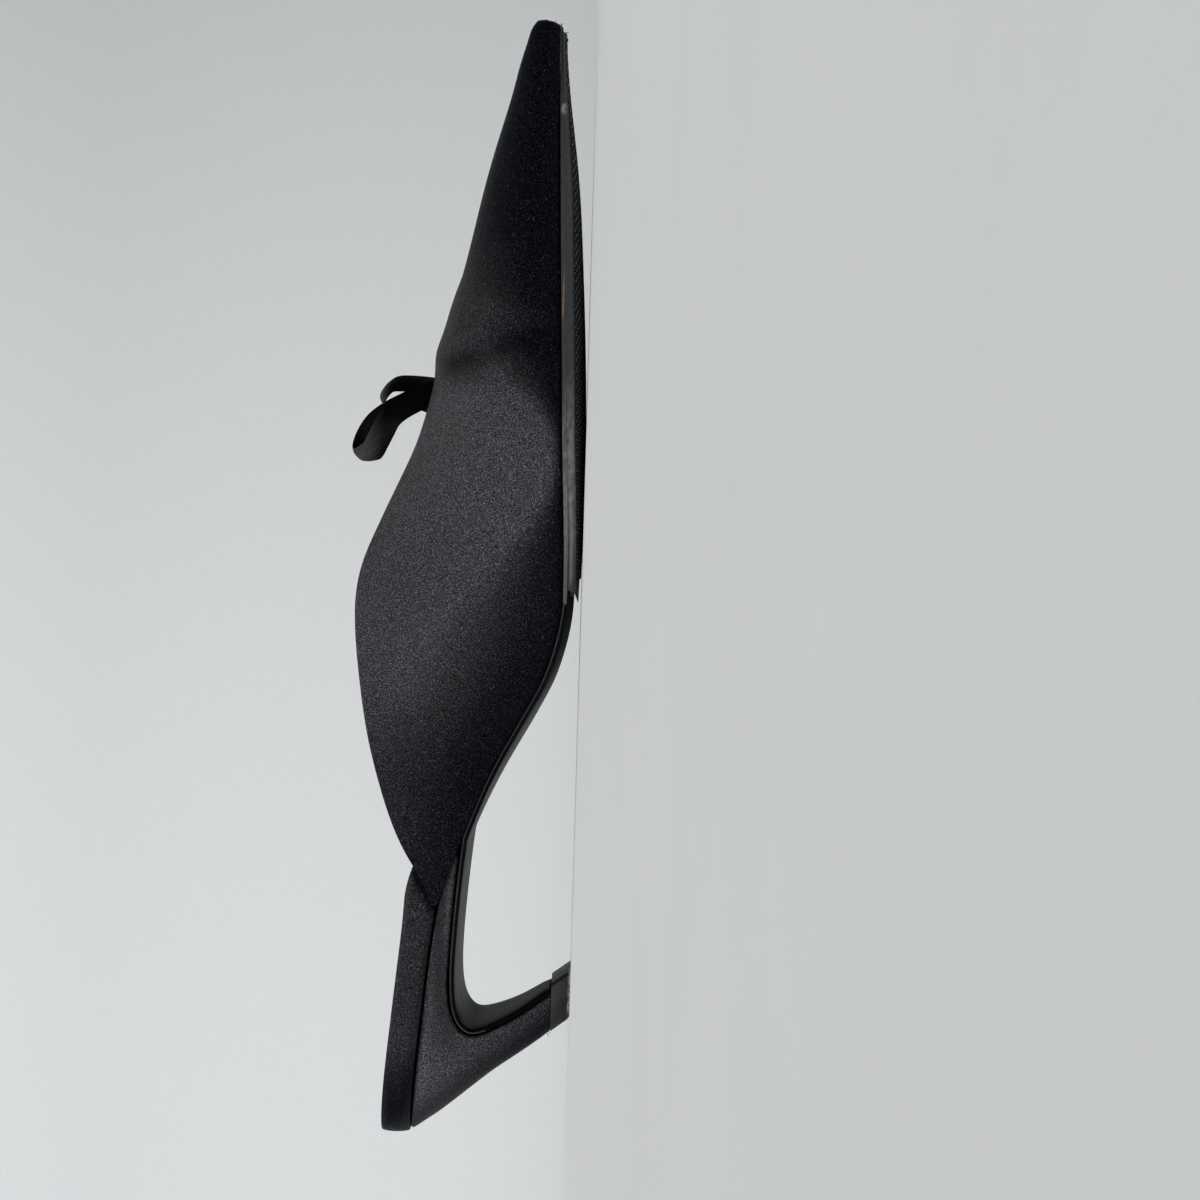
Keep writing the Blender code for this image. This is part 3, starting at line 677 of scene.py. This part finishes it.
bm = quads("insole")
top = [face for face in bm.faces if face.normal.z > 0.8]
bmesh.ops.inset_region(bm, faces=top, thickness=SOCK_INSET, use_even_offset=True)
bmesh.ops.inset_region(bm, faces=top, thickness=GROOVE_WIDE, depth=-SOCK_GROOVE, use_even_offset=True)
sock_side = bmesh.ops.inset_region(
    bm,
    faces=top,
    thickness=GROOVE_WIDE,
    depth=SOCK_GROOVE,
    use_even_offset=True,
)["faces"]
for face in top + sock_side:
    face.material_index = 1
crease(bm, 32, 0.7)
insole = piece("padded_insole", bm, (SATIN, SOCK), ("insole",))
subdivide(insole, 2)
for vert in insole.data.vertices:
    at = vert.co / MM
    raised = SEAT_LIFT * swell(at.x, *SEAT_MIDDLE) * rise(abs(at.y), *SEAT_SIDES)
    vert.co.z += raised * rise(at.z, *SEAT_TOP) * MM


def insole_shade(at):
    """Painted shade, deep at the back of the seat, and a painted shadow beside the edge of the flap that
    crosses it.
    """
    return DEEPEST - SEAT_LIGHT * rise(at.x, *SEAT_BACK) + fold_push(FLAP_EDGE, at.x, at.z)


# A painted shadow where the heel and the upper lie beside the insole.
paint_shade(insole, insole_shade, ("heel", "upper"))
print("insole: faces", len(insole.data.polygons))

# %% [markdown]
# ## Outsole
# One strip of leather runs from the toe to the waist, under the seat and down the breast of the heel.
# Along the forefoot its edge is inked and rubbed grey. Behind that the edge is lacquered like the
# underside, and only its upper corner, which is beveled, catches the light as a thin line, helped by the
# grey edge finish on it, a painted highlight.

# %% Outsole
# Where a sole rounds up into the toe, and how far its top and its bottom move back there.
TOE_ROUND = (122.0, 10.0)
SOLE_BACK = (-0.9, 0.1)
TIP_FROM = 118 * MM
GREY_TO = -5.0 * MM
LINE_WIDE = 0.35 * MM
INWARD = Vector((-0.6, 0, 0.8))
# The lower end of the strip, on the breast of the heel, and how far it is drawn down.
END_BEHIND = -90 * MM
END_UNDER = 5.5 * MM
END_DOWN = 0.6 * MM


def round_toe(bm, top_back, bottom_back):
    """Moves a sole's front end back, or forward where it is below 0, and by more at its bottom."""
    for vert in bm.verts:
        upward = any(face.normal.z > 0.5 for face in vert.link_faces)
        back = top_back if upward else bottom_back
        vert.co.x -= back * rise(vert.co.x / MM, *TOE_ROUND) * MM


def sideways(face):
    """Whether a face looks to one side of the shoe."""
    return abs(face.normal.y) > 0.6


def at_tip(face):
    """Whether a face closes the front end of a sole."""
    return face.calc_center_median().x > TIP_FROM and face.normal.x > 0.6


bm = quads("outsole")
round_toe(bm, *SOLE_BACK)
for vert in bm.verts:
    if vert.co.x < END_BEHIND and vert.co.z < END_UNDER:
        vert.co.z -= END_DOWN
for face in bm.faces:
    grey = sideways(face) and face.calc_center_median().x > GREY_TO
    face.material_index = 1 if grey or at_tip(face) else 0
corners = []
for edge in bm.edges:
    if edge.verts[0].co.x < GREY_TO and len(edge.link_faces) == 2:
        side, inner = sorted(edge.link_faces, key=sideways, reverse=True)
        if sideways(side) and not sideways(inner) and inner.normal.dot(INWARD) > 0.3:
            corners.append(edge)
light_line = bmesh.ops.bevel(
    bm,
    geom=corners,
    offset=LINE_WIDE,
    segments=1,
    profile=0.5,
    affect="EDGES",
    material=-1,
    clamp_overlap=True,
)["faces"]
# The bevel takes the grey edge finish, a painted highlight along its corner.
for face in light_line:
    face.material_index = 1
crease(bm, 30, 1.0)
outsole = piece("lacquered_outsole", bm, (LACQUER, EDGE), ("outsole",))
subdivide(outsole, 2)
print("outsole: faces", len(outsole.data.polygons), "light line:", len(light_line))

# %% [markdown]
# ## Grip pad
# The rubber pad is glued under the forefoot. Its studs stand on the floor, so the pad's own underside is
# lifted by their height, and its top rim is drawn up to the leather. Its cut side is as grey as the
# sole's edge.

# %% Grip pad
STUD_HIGH = 0.35 * MM
SEAT_UP = 0.28 * MM
EDGE_UP = 0.68 * MM
PAD_BACK = (0.7, 2.2)

bm = quads("grip_pad")
bm.normal_update()
lifts = {}
for vert in bm.verts:
    ups = [face.normal.z for face in vert.link_faces]
    if all(z < -0.3 for z in ups):
        lifts[vert] = STUD_HIGH
    elif any(z > 0.3 for z in ups):
        lifts[vert] = SEAT_UP if all(z > 0.3 for z in ups) else EDGE_UP
for vert, lift in lifts.items():
    vert.co.z += lift
round_toe(bm, *PAD_BACK)
for face in bm.faces:
    face.material_index = 1 if sideways(face) or at_tip(face) else 0
crease(bm, 40, 1.0)
pad = piece("grip_pad_rubber", bm, (PAD, EDGE), ("grip_pad",))
subdivide(pad, 1)
print("pad: faces", len(pad.data.polygons))

# %% [markdown]
# ## Studs
# Rows of small round studs cover the pad up to its edge, with a plain border at its rear. An array
# modifier would lay them on a flat grid, but the pad is curved. So one stud is made as a cut-off cone,
# and added again wherever a ray from below meets the pad, turned to the surface there. Its top, worn pale
# and with a painted highlight, has a finish of its own. All of them are one mesh.

# %% Studs
STUD_FOOT = 0.5 * MM
STUD_TOP = 0.3 * MM
STUD_STEP = 1.7 * MM
STUD_ROW = 1.45 * MM
STUD_REAR = 6.5 * MM
STUD_CLEAR = 0.6 * MM
STUD_SIDES = 7
# The share of its height that is sunk into the pad, so that no gap shows under it.
STUD_SUNK = 0.2
AROUND = ((STUD_CLEAR, 0), (-STUD_CLEAR, 0), (0, STUD_CLEAR), (0, -STUD_CLEAR))
BELOW = Vector((0, 0, -5 * MM))

underside = skin(pad.data)
low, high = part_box("grip_pad")


def under(x, y):
    """Where a ray from below meets the pad, and the way out there."""
    return underside.ray_cast(Vector((x, y, 0)) + BELOW, Vector((0, 0, 1)))[:2]


stud = bmesh.new()
bmesh.ops.create_cone(
    stud,
    cap_ends=True,
    segments=STUD_SIDES,
    radius1=STUD_FOOT,
    radius2=STUD_TOP,
    depth=STUD_HIGH * (1 + STUD_SUNK),
    matrix=Matrix.Translation((0, 0, STUD_HIGH * (1 - STUD_SUNK) / 2)),
)
stud.normal_update()
for face in stud.faces:
    # The top takes the pale finish: wear, and a painted highlight.
    face.material_index = 1 if face.normal.z > 0.9 else 0
pattern = bpy.data.meshes.new("stud_pattern")
stud.to_mesh(pattern)
stud.free()
bm = bmesh.new()
count = 0
for row in range(int((high.y - low.y) / STUD_ROW) + 1):
    y = low.y + row * STUD_ROW
    for i in range(int((high.x - low.x - STUD_REAR) / STUD_STEP)):
        x = low.x + STUD_REAR + (i + 0.5 * (row % 2)) * STUD_STEP
        spot, out = under(x, y)
        if spot is None or None in [under(x + dx, y + dy)[0] for dx, dy in AROUND]:
            continue
        seat = Matrix.Translation(spot) @ out.to_track_quat("Z", "Y").to_matrix().to_4x4()
        pattern.transform(seat)
        bm.from_mesh(pattern)
        pattern.transform(seat.inverted())
        count += 1
bpy.data.meshes.remove(pattern)
piece("grip_studs", bm, (PAD, STUDS))
print("studs:", count)

# %% [markdown]
# ## Heel and top piece
# The heel is a block wrapped in the same satin, with a painted shade that deepens towards the line of its
# back. Its edges are creased and smoothed, as cloth rounds every edge that it covers. The top piece is a
# rubber block with beveled edges, rubbed pale where it meets the floor.

# %% Heel and top piece
# The line of the heel's back, which leans: a place on it, and the way into the heel.
BACK_X, BACK_Z = -131.0, 36.0
IN_X, IN_Z = 0.79, 0.61
# The painted shade at the heel's back, how much lighter it grows inwards, and over how many millimetres.
BACK_SHADE = 0.95
HEEL_LIGHT = 0.67
HEEL_DEEP_MM = 10.0
TIP_UP = 0.45 * MM
TIP_BEVEL = 0.3 * MM

bm = quads("heel")
crease(bm, 38, 0.7)
heel = piece("satin_heel", bm, (SATIN,), ("heel",))
subdivide(heel, 2)


def heel_shade(at):
    """Painted shade, deeper towards the line of the heel's back."""
    inside = (at.x - BACK_X) * IN_X + (at.z - BACK_Z) * IN_Z
    return BACK_SHADE - HEEL_LIGHT * rise(inside, 0.0, HEEL_DEEP_MM)


# A painted shadow where the insole, the outsole and the upper lie beside the heel.
paint_shade(heel, heel_shade, ("insole", "outsole", "upper"))

bm = quads("top_piece")
for vert in bm.verts:
    if any(face.normal.z > 0.7 for face in vert.link_faces):
        vert.co.z += TIP_UP
bmesh.ops.bevel(
    bm,
    geom=[edge for edge in bm.edges if edge.calc_face_angle(0) > math.radians(40)],
    offset=TIP_BEVEL,
    segments=2,
    profile=0.5,
    affect="EDGES",
    material=-1,
    clamp_overlap=True,
)
top_piece = piece("heel_top_piece", bm, (TIP,), ("top_piece",))
print("heel: faces", len(heel.data.polygons), "top piece: faces", len(top_piece.data.polygons))

# %% [markdown]
# ## The ribbon
# The bow is one satin ribbon. Each stretch starts as a flat grid, with its length along one side, and
# every cross row is carried to its place on a path, with a slight hollow across its width, since a ribbon
# that is folded never lies quite flat. A cloth simulation would need the whole knot to be tied. Listed
# rows give the same folds, and a smooth path is worked out between them.

# %% Ribbon stretches
RIBBON_WIDE = 5.6
RIBBON_THICK = 0.45
RIBBON_CELLS = 8
ROW_STEPS = 5
DISH_LEVEL = 0.4
# The way the near loop points, and how many rows of its path make its round end.
LOOP_WAY = Vector((-0.66, 0.0, 0.75))
END_ROWS = 12


def between(a, b, c, d, t):
    """A value at a share t of the way from b to c, on a smooth path through all four."""
    bend = 2 * a - 5 * b + 4 * c - d + t * (3 * b - a - 3 * c + d)
    return b + 0.5 * t * ((c - a) + t * bend)


def through(rows):
    """Rows with more worked out between each two, on a smooth path."""
    made = []
    for i in range(len(rows) - 1):
        before, after = rows[max(i - 1, 0)], rows[min(i + 2, len(rows) - 1)]
        columns = list(zip(before, rows[i], rows[i + 1], after))
        for step in range(ROW_STEPS):
            made.append([between(*column, step / ROW_STEPS) for column in columns])
    return made + [list(rows[-1])]


def ribbon(name, node, centres, widths, hollow, round_end, rule):
    """A flat grid carried along a path in millimetres, dished across its width. Its edges turn back
    before its middle does, by round_end, so that a loop ends round."""
    last = len(centres) - 1
    bm = bmesh.new()
    bmesh.ops.create_grid(bm, x_segments=last, y_segments=RIBBON_CELLS, size=0.5)
    for vert in bm.verts:
        i = round((vert.co.x + 0.5) * last)
        across = 2 * vert.co.y
        way = (centres[min(i + 1, last)] - centres[max(i - 1, 0)]).normalized()
        out = way.cross(widths[i]).normalized()
        side = out.cross(way).normalized()
        dish = hollow * (across * across - DISH_LEVEL)
        short = round_end * across * across * swell(i, last / 2, END_ROWS)
        vert.co = (centres[i] + side * across * RIBBON_WIDE / 2 + out * dish - LOOP_WAY * short) * MM
    bmesh.ops.solidify(bm, geom=bm.faces[:], thickness=RIBBON_THICK * MM)
    made = piece(name, bm, (RIBBON,), (node,))
    subdivide(made, 1)
    paint_shade(made, rule)
    return made


print("ribbon, in mm: wide", RIBBON_WIDE, "thick", RIBBON_THICK)

# %% [markdown]
# ## The near loop and tail
# The near loop goes out from the knot, turns over and comes back a little beyond itself, so that its
# inside, in painted shade, shows beside the painted sheen of its near run. The near tail stands up and
# curls over at its cut end, where a sheen is painted too.

# %% The near loop and tail
LOOP_HOLLOW = 0.35
LOOP_ROUND = 3.0
TAIL_HOLLOW = 0.5
# How much lighter the painted sheen is, and where it rises.
LOOP_LIGHT = 0.9
LOOP_END = (47.0, 6.0)
LOOP_NEAR = (-4.6, -1.5)
TAIL_LIGHT = 0.75
TAIL_END = (46.5, 3.0)
# Each row: a place on the path, and the way the ribbon's width lies there.
LOOP_MEDIAL = (
    (43.0, -5.8, 35.5, 0.90, 0.0, 0.43),
    (42.1, -7.2, 37.8, 0.88, 0.0, 0.47),
    (40.1, -8.7, 41.3, 0.85, 0.1, 0.52),
    (38.0, -9.5, 44.4, 0.80, 0.15, 0.58),
    (35.7, -9.4, 46.9, 0.70, 0.1, 0.70),
    (32.4, -8.9, 49.0, 0.62, 0.0, 0.78),
    (29.2, -7.9, 51.1, 0.60, 0.0, 0.80),
    (26.9, -6.4, 52.7, 0.60, 0.0, 0.80),
    (26.7, -5.0, 53.6, 0.62, 0.0, 0.78),
    (27.9, -3.9, 54.0, 0.64, 0.0, 0.77),
    (31.2, -3.5, 52.9, 0.66, 0.0, 0.75),
    (35.2, -3.9, 50.4, 0.70, 0.0, 0.71),
    (38.0, -4.2, 47.0, 0.76, 0.1, 0.65),
    (40.4, -4.4, 42.6, 0.82, 0.1, 0.57),
    (42.4, -4.5, 38.8, 0.86, 0.1, 0.50),
)
TAIL_MEDIAL = (
    (44.4, -3.6, 35.2, 0.85, 0.5, 0.0),
    (44.9, -4.2, 38.3, 0.80, 0.6, 0.0),
    (45.1, -4.6, 42.0, 0.78, 0.62, 0.0),
    (45.0, -4.8, 45.0, 0.74, 0.66, 0.1),
    (44.2, -4.6, 47.0, 0.5, 0.82, 0.28),
    (42.7, -4.0, 48.4, 0.35, 0.88, 0.32),
    (41.3, -3.2, 49.2, 0.3, 0.9, 0.3),
)


def loop_shade(at):
    """Painted shade, black inside the loop, and a painted sheen, lightest on its near run, towards the
    end.
    """
    return 1.0 - LOOP_LIGHT * rise(at.z, *LOOP_END) * rise(at.y, *LOOP_NEAR)


def tail_shade(at):
    """Painted shade, black, with a painted sheen on the end that curls over."""
    return 1.0 - TAIL_LIGHT * rise(at.z, *TAIL_END)


def folded(name, node, rows, hollow, round_end, rule):
    """A ribbon through these rows, and the path that it follows, in metres."""
    rows = through(rows)
    places, widths = [Vector(row[:3]) for row in rows], [Vector(row[3:]) for row in rows]
    made = ribbon(name, node, places, widths, hollow, round_end, rule)
    return made, [place * MM for place in places]


loop_medial, loop_path = folded(
    "ribbon_loop_medial",
    "bow_loop_medial",
    LOOP_MEDIAL,
    LOOP_HOLLOW,
    LOOP_ROUND,
    loop_shade,
)
tail_medial, tail_path = folded(
    "ribbon_tail_medial",
    "bow_tail_medial",
    TAIL_MEDIAL,
    TAIL_HOLLOW,
    0.0,
    tail_shade,
)

# %% [markdown]
# ## The far side of the bow and the tie
# The far loop and tail lie on the outer flap, and the tie runs inside both flaps under the knot. Their
# solids already follow the flaps, so they are copied, smoothed and rippled a little along their length.

# %% The far side of the bow and the tie
RIPPLE_MM = 0.22
RIPPLE_LONG = 4.5
RIPPLE_FROM = (4.0, 4.0)
FAR_PULL = 2.6
PULL_FROM = (4.5, -4.5)
FAR_SHADE = 0.6


def lying_ribbon(name, node, pull=0.0):
    """A copy of a ribbon's solid, rippled, with its inner end drawn towards the knot."""
    bm = quads(node)
    crease(bm, 50, 0.5)
    made = piece(name, bm, (RIBBON,), (node,))
    subdivide(made, 2)
    for vert in made.data.vertices:
        at = vert.co / MM
        ripple = RIPPLE_MM * math.sin(2 * math.pi * (at.y + 0.3 * at.x) / RIPPLE_LONG)
        vert.co.z += ripple * rise(at.y, *RIPPLE_FROM) * MM
        vert.co.y -= pull * rise(at.y, *PULL_FROM) * MM
    paint_shade(made, lambda at: FAR_SHADE)
    return made


loop_lateral = lying_ribbon("ribbon_loop_lateral", "bow_loop_lateral", FAR_PULL)
tail_lateral = lying_ribbon("ribbon_tail_lateral", "bow_tail_lateral")
lying_ribbon("ribbon_tie_band", "ribbon_tie")
print("far side of the bow: faces", len(loop_lateral.data.polygons) + len(tail_lateral.data.polygons))

# %% [markdown]
# ## The knot
# The knot is a rounded block whose middle is pinched by the turn of ribbon that is wrapped round it. A
# cube is cut into a grid, drawn more than halfway to a ball, and waved into pleats. The whole bow is one
# ribbon.

# %% The knot
KNOT = Vector((43.4, -3.2, 37.2))
KNOT_SIZE = Vector((6.4, 5.6, 4.6))
KNOT_CUTS = 5
KNOT_PINCH = 0.14
KNOT_ROUND = 0.62
KNOT_SHADE = 0.8
PLEAT_MM = 0.22
PLEATS = 4

bm = bmesh.new()
bmesh.ops.create_cube(bm, size=1.0)
bmesh.ops.subdivide_edges(bm, edges=bm.edges[:], cuts=KNOT_CUTS, use_grid_fill=True)
for vert in bm.verts:
    at = vert.co * 2
    ball = at.normalized() * max(abs(v) for v in at)
    soft = at.lerp(ball, KNOT_ROUND)
    waist = 1 - KNOT_PINCH * (1 - abs(at.y))
    fold = PLEAT_MM * math.sin(PLEATS * math.pi * at.x) * (1 - abs(at.y) * 0.5)
    vert.co = Vector(a * b / 2 for a, b in zip((soft.x * waist, soft.y, soft.z * waist), KNOT_SIZE))
    vert.co = (KNOT + vert.co + vert.co.normalized() * fold) * MM
knot = piece("ribbon_knot", bm, (RIBBON,), ("bow_knot",))
subdivide(knot, 2)
paint_shade(knot, lambda at: KNOT_SHADE)
print("knot: faces", len(knot.data.polygons))

# %% [markdown]
# ## Lint
# Black satin picks up lint. Blender's hair would do for a coat, but these are a few hundred short single
# hairs. One is a small ring, spun round a distant centre into a bent tube. Rays from both sides find the
# places where hairs lie, chosen by a seeded random so that each run gives the same ones.

# %% Lint
HAIRS = 480
HAIR_THICK = 0.03 * MM
HAIR_STEPS = 7
RAY_FROM = 0.2
# Where hairs lie, in millimetres: along the whole upper or its front half, and up. Then their length
# in millimetres and how far they bend.
WHOLE, FRONT = (-80, 125), (50, 128)
HEIGHTS = (6, 42)
LENGTHS = (0.25, 0.8)
BENDS = (0.3, 1.4)

chance = random.Random(7)
pattern = bpy.data.meshes.new("hair_pattern")
cloth_skin = skin(upper.data)


def hair(bm, spot, out, way, length, bend, thick):
    """Adds a bent tube that starts at a spot and runs along a way, in a plane that faces out."""
    side = out.cross(way).normalized()
    turned = Matrix((side, out, out.cross(side).normalized())).transposed().to_4x4()
    one = bmesh.new()
    start = Matrix.Translation(spot + out * thick) @ turned
    bmesh.ops.create_circle(one, segments=4, radius=thick, matrix=start)
    bmesh.ops.spin(
        one,
        geom=one.verts[:] + one.edges[:],
        cent=spot + side * length / bend,
        axis=out,
        angle=bend,
        steps=HAIR_STEPS,
    )
    bmesh.ops.holes_fill(one, edges=[edge for edge in one.edges if edge.is_boundary], sides=4)
    bmesh.ops.recalc_face_normals(one, faces=one.faces)
    one.to_mesh(pattern)
    one.free()
    bm.from_mesh(pattern)


bm = bmesh.new()
laid = 0
while laid < HAIRS:
    side = 1 if laid % 2 else -1
    x = chance.choice((chance.uniform(*WHOLE), chance.uniform(*FRONT)))
    start = Vector((x * MM, side * RAY_FROM, chance.uniform(*HEIGHTS) * MM))
    spot, out = cloth_skin.ray_cast(start, Vector((0, -side, 0)))[:2]
    if spot is None or out.y * side < 0.5:
        continue
    turn = chance.uniform(0, 2 * math.pi)
    way = Vector((math.cos(turn), 0, math.sin(turn)))
    way = (way - out * way.dot(out)).normalized()
    hair(bm, spot, out, way, chance.uniform(*LENGTHS) * MM, chance.uniform(*BENDS), HAIR_THICK)
    laid += 1
# One longer and thicker hair lies on the inner flap.
LONG_FROM = Vector((-20.9 * MM, -RAY_FROM, 27.9 * MM))
LONG_WAY = Vector((-0.9, 0, -0.4))
LONG_HAIR = 3.4 * MM
LONG_BEND = 0.8
LONG_THICK = HAIR_THICK * 2.6
spot, out = cloth_skin.ray_cast(LONG_FROM, Vector((0, 1, 0)))[:2]
hair(bm, spot, out, LONG_WAY, LONG_HAIR, LONG_BEND, LONG_THICK)
lint = piece("lint_hairs", bm, (FLUFF,))
print("lint: hairs", laid + 1, "faces", len(lint.data.polygons))

# %% [markdown]
# ## Loose threads
# A few black threads stand out where the cloth is cut: at the tip of the toe and at the back of the heel.
# They are the same bent tubes, thicker and listed one by one.

# %% Loose threads
THREAD_THICK = 0.07 * MM
THREAD_BEND = 0.7
# Each loose thread: where it starts, the way it runs, and its length.
LOOSE = (
    ((130.8, -4.0, 8.9), (0.7, 0.0, -0.5), 1.3),
    ((129.0, -5.0, 8.0), (0.3, 0.0, -0.9), 1.2),
    ((131.9, -4.2, 10.0), (0.9, 0.2, -0.3), 0.8),
    ((-108.6, -1.0, 5.4), (-0.9, 0.0, -0.3), 1.6),
    ((-108.2, -2.2, 5.2), (-0.7, -0.2, -0.6), 1.2),
)
bm = bmesh.new()
for spot, way, length in LOOSE:
    way = Vector(way).normalized()
    out = way.cross(Vector((1, 0, 0))).cross(way).normalized()
    hair(bm, Vector(spot) * MM, out, way, length * MM, THREAD_BEND, THREAD_THICK)
bpy.data.meshes.remove(pattern)
piece("loose_threads", bm, (THREAD,))
print("threads:", len(LOOSE))

# %% [markdown]
# ## Stage
# A pale floor runs up into a pale wall in one sweep, as a roll of paper does in a studio. A square is the
# floor, its rear edge is spun up by a quarter turn, and the last edge is drawn up into the wall.

# %% Stage
WALL_AWAY = 0.9
SWEEP = 0.35
STAGE_HALF = 2.2
SWEEP_STEPS = 16
WALL_HIGH = 2.0

bm = bmesh.new()
bmesh.ops.create_grid(bm, x_segments=1, y_segments=1, size=STAGE_HALF)
bmesh.ops.translate(bm, verts=bm.verts, vec=(0, WALL_AWAY - SWEEP - STAGE_HALF, 0))
rear = [edge for edge in bm.edges if all(vert.co.y > 0 for vert in edge.verts)]
swept = bmesh.ops.spin(
    bm,
    geom=rear + list(rear[0].verts),
    cent=(0, WALL_AWAY - SWEEP, SWEEP),
    axis=(1, 0, 0),
    angle=math.pi / 2,
    steps=SWEEP_STEPS,
)["geom_last"]
top_edges = [item for item in swept if isinstance(item, bmesh.types.BMEdge)]
wall = bmesh.ops.extrude_edge_only(bm, edges=top_edges)["geom"]
top_corners = [item for item in wall if isinstance(item, bmesh.types.BMVert)]
bmesh.ops.translate(bm, verts=top_corners, vec=(0, 0, WALL_HIGH))
bmesh.ops.recalc_face_normals(bm, faces=bm.faces)
mesh = bpy.data.meshes.new("pale_sweep")
bm.to_mesh(mesh)
bm.free()
mesh.shade_smooth()
backdrop = bpy.data.objects.new("pale_sweep", mesh)
bpy.context.scene.collection.objects.link(backdrop)
mesh.materials.append(grained_finish("matt_paper", "cdcfd0", "d0d2d3", 4.0, EVEN, 0.85, 0.02))
print("stage: faces", len(mesh.polygons))

# %% [markdown]
# ## Light
# The main light is large and soft, beside the camera and towards the heel, so it draws a broad sheen over
# the flaps and leaves the toe dark. A weaker one hangs overhead, and the wall has a light of its own.

# %% Light
ROOM_LIGHT = 0.145


def soft_light(name, place, target, size, watts):
    """An area light, with its breadth and height, that looks at a target."""
    lamp = bpy.data.lights.new(name, "AREA")
    lamp.shape = "RECTANGLE"
    lamp.size, lamp.size_y = size
    lamp.energy = watts
    obj = bpy.data.objects.new(name, lamp)
    bpy.context.scene.collection.objects.link(obj)
    obj.location = place
    obj.rotation_mode = "QUATERNION"
    obj.rotation_quaternion = (Vector(target) - Vector(place)).to_track_quat("-Z", "Y")


soft_light("key", (-0.85, -1.1, 0.55), (0, 0, 0.03), (1.4, 0.8), 21.0)
soft_light("overhead", (0.0, 0.3, 1.6), (0, 0.3, 0), (1.8, 1.2), 4.0)
soft_light("wall_wash", (-0.4, 0.2, 1.1), (-0.4, 0.9, 0.15), (1.4, 0.6), 6.8)
world = bpy.data.worlds.new("pale_room")
bpy.context.scene.world = world
world.use_nodes = True
world.node_tree.nodes["Background"].inputs["Color"].default_value = colour("d8d8da")
world.node_tree.nodes["Background"].inputs["Strength"].default_value = ROOM_LIGHT
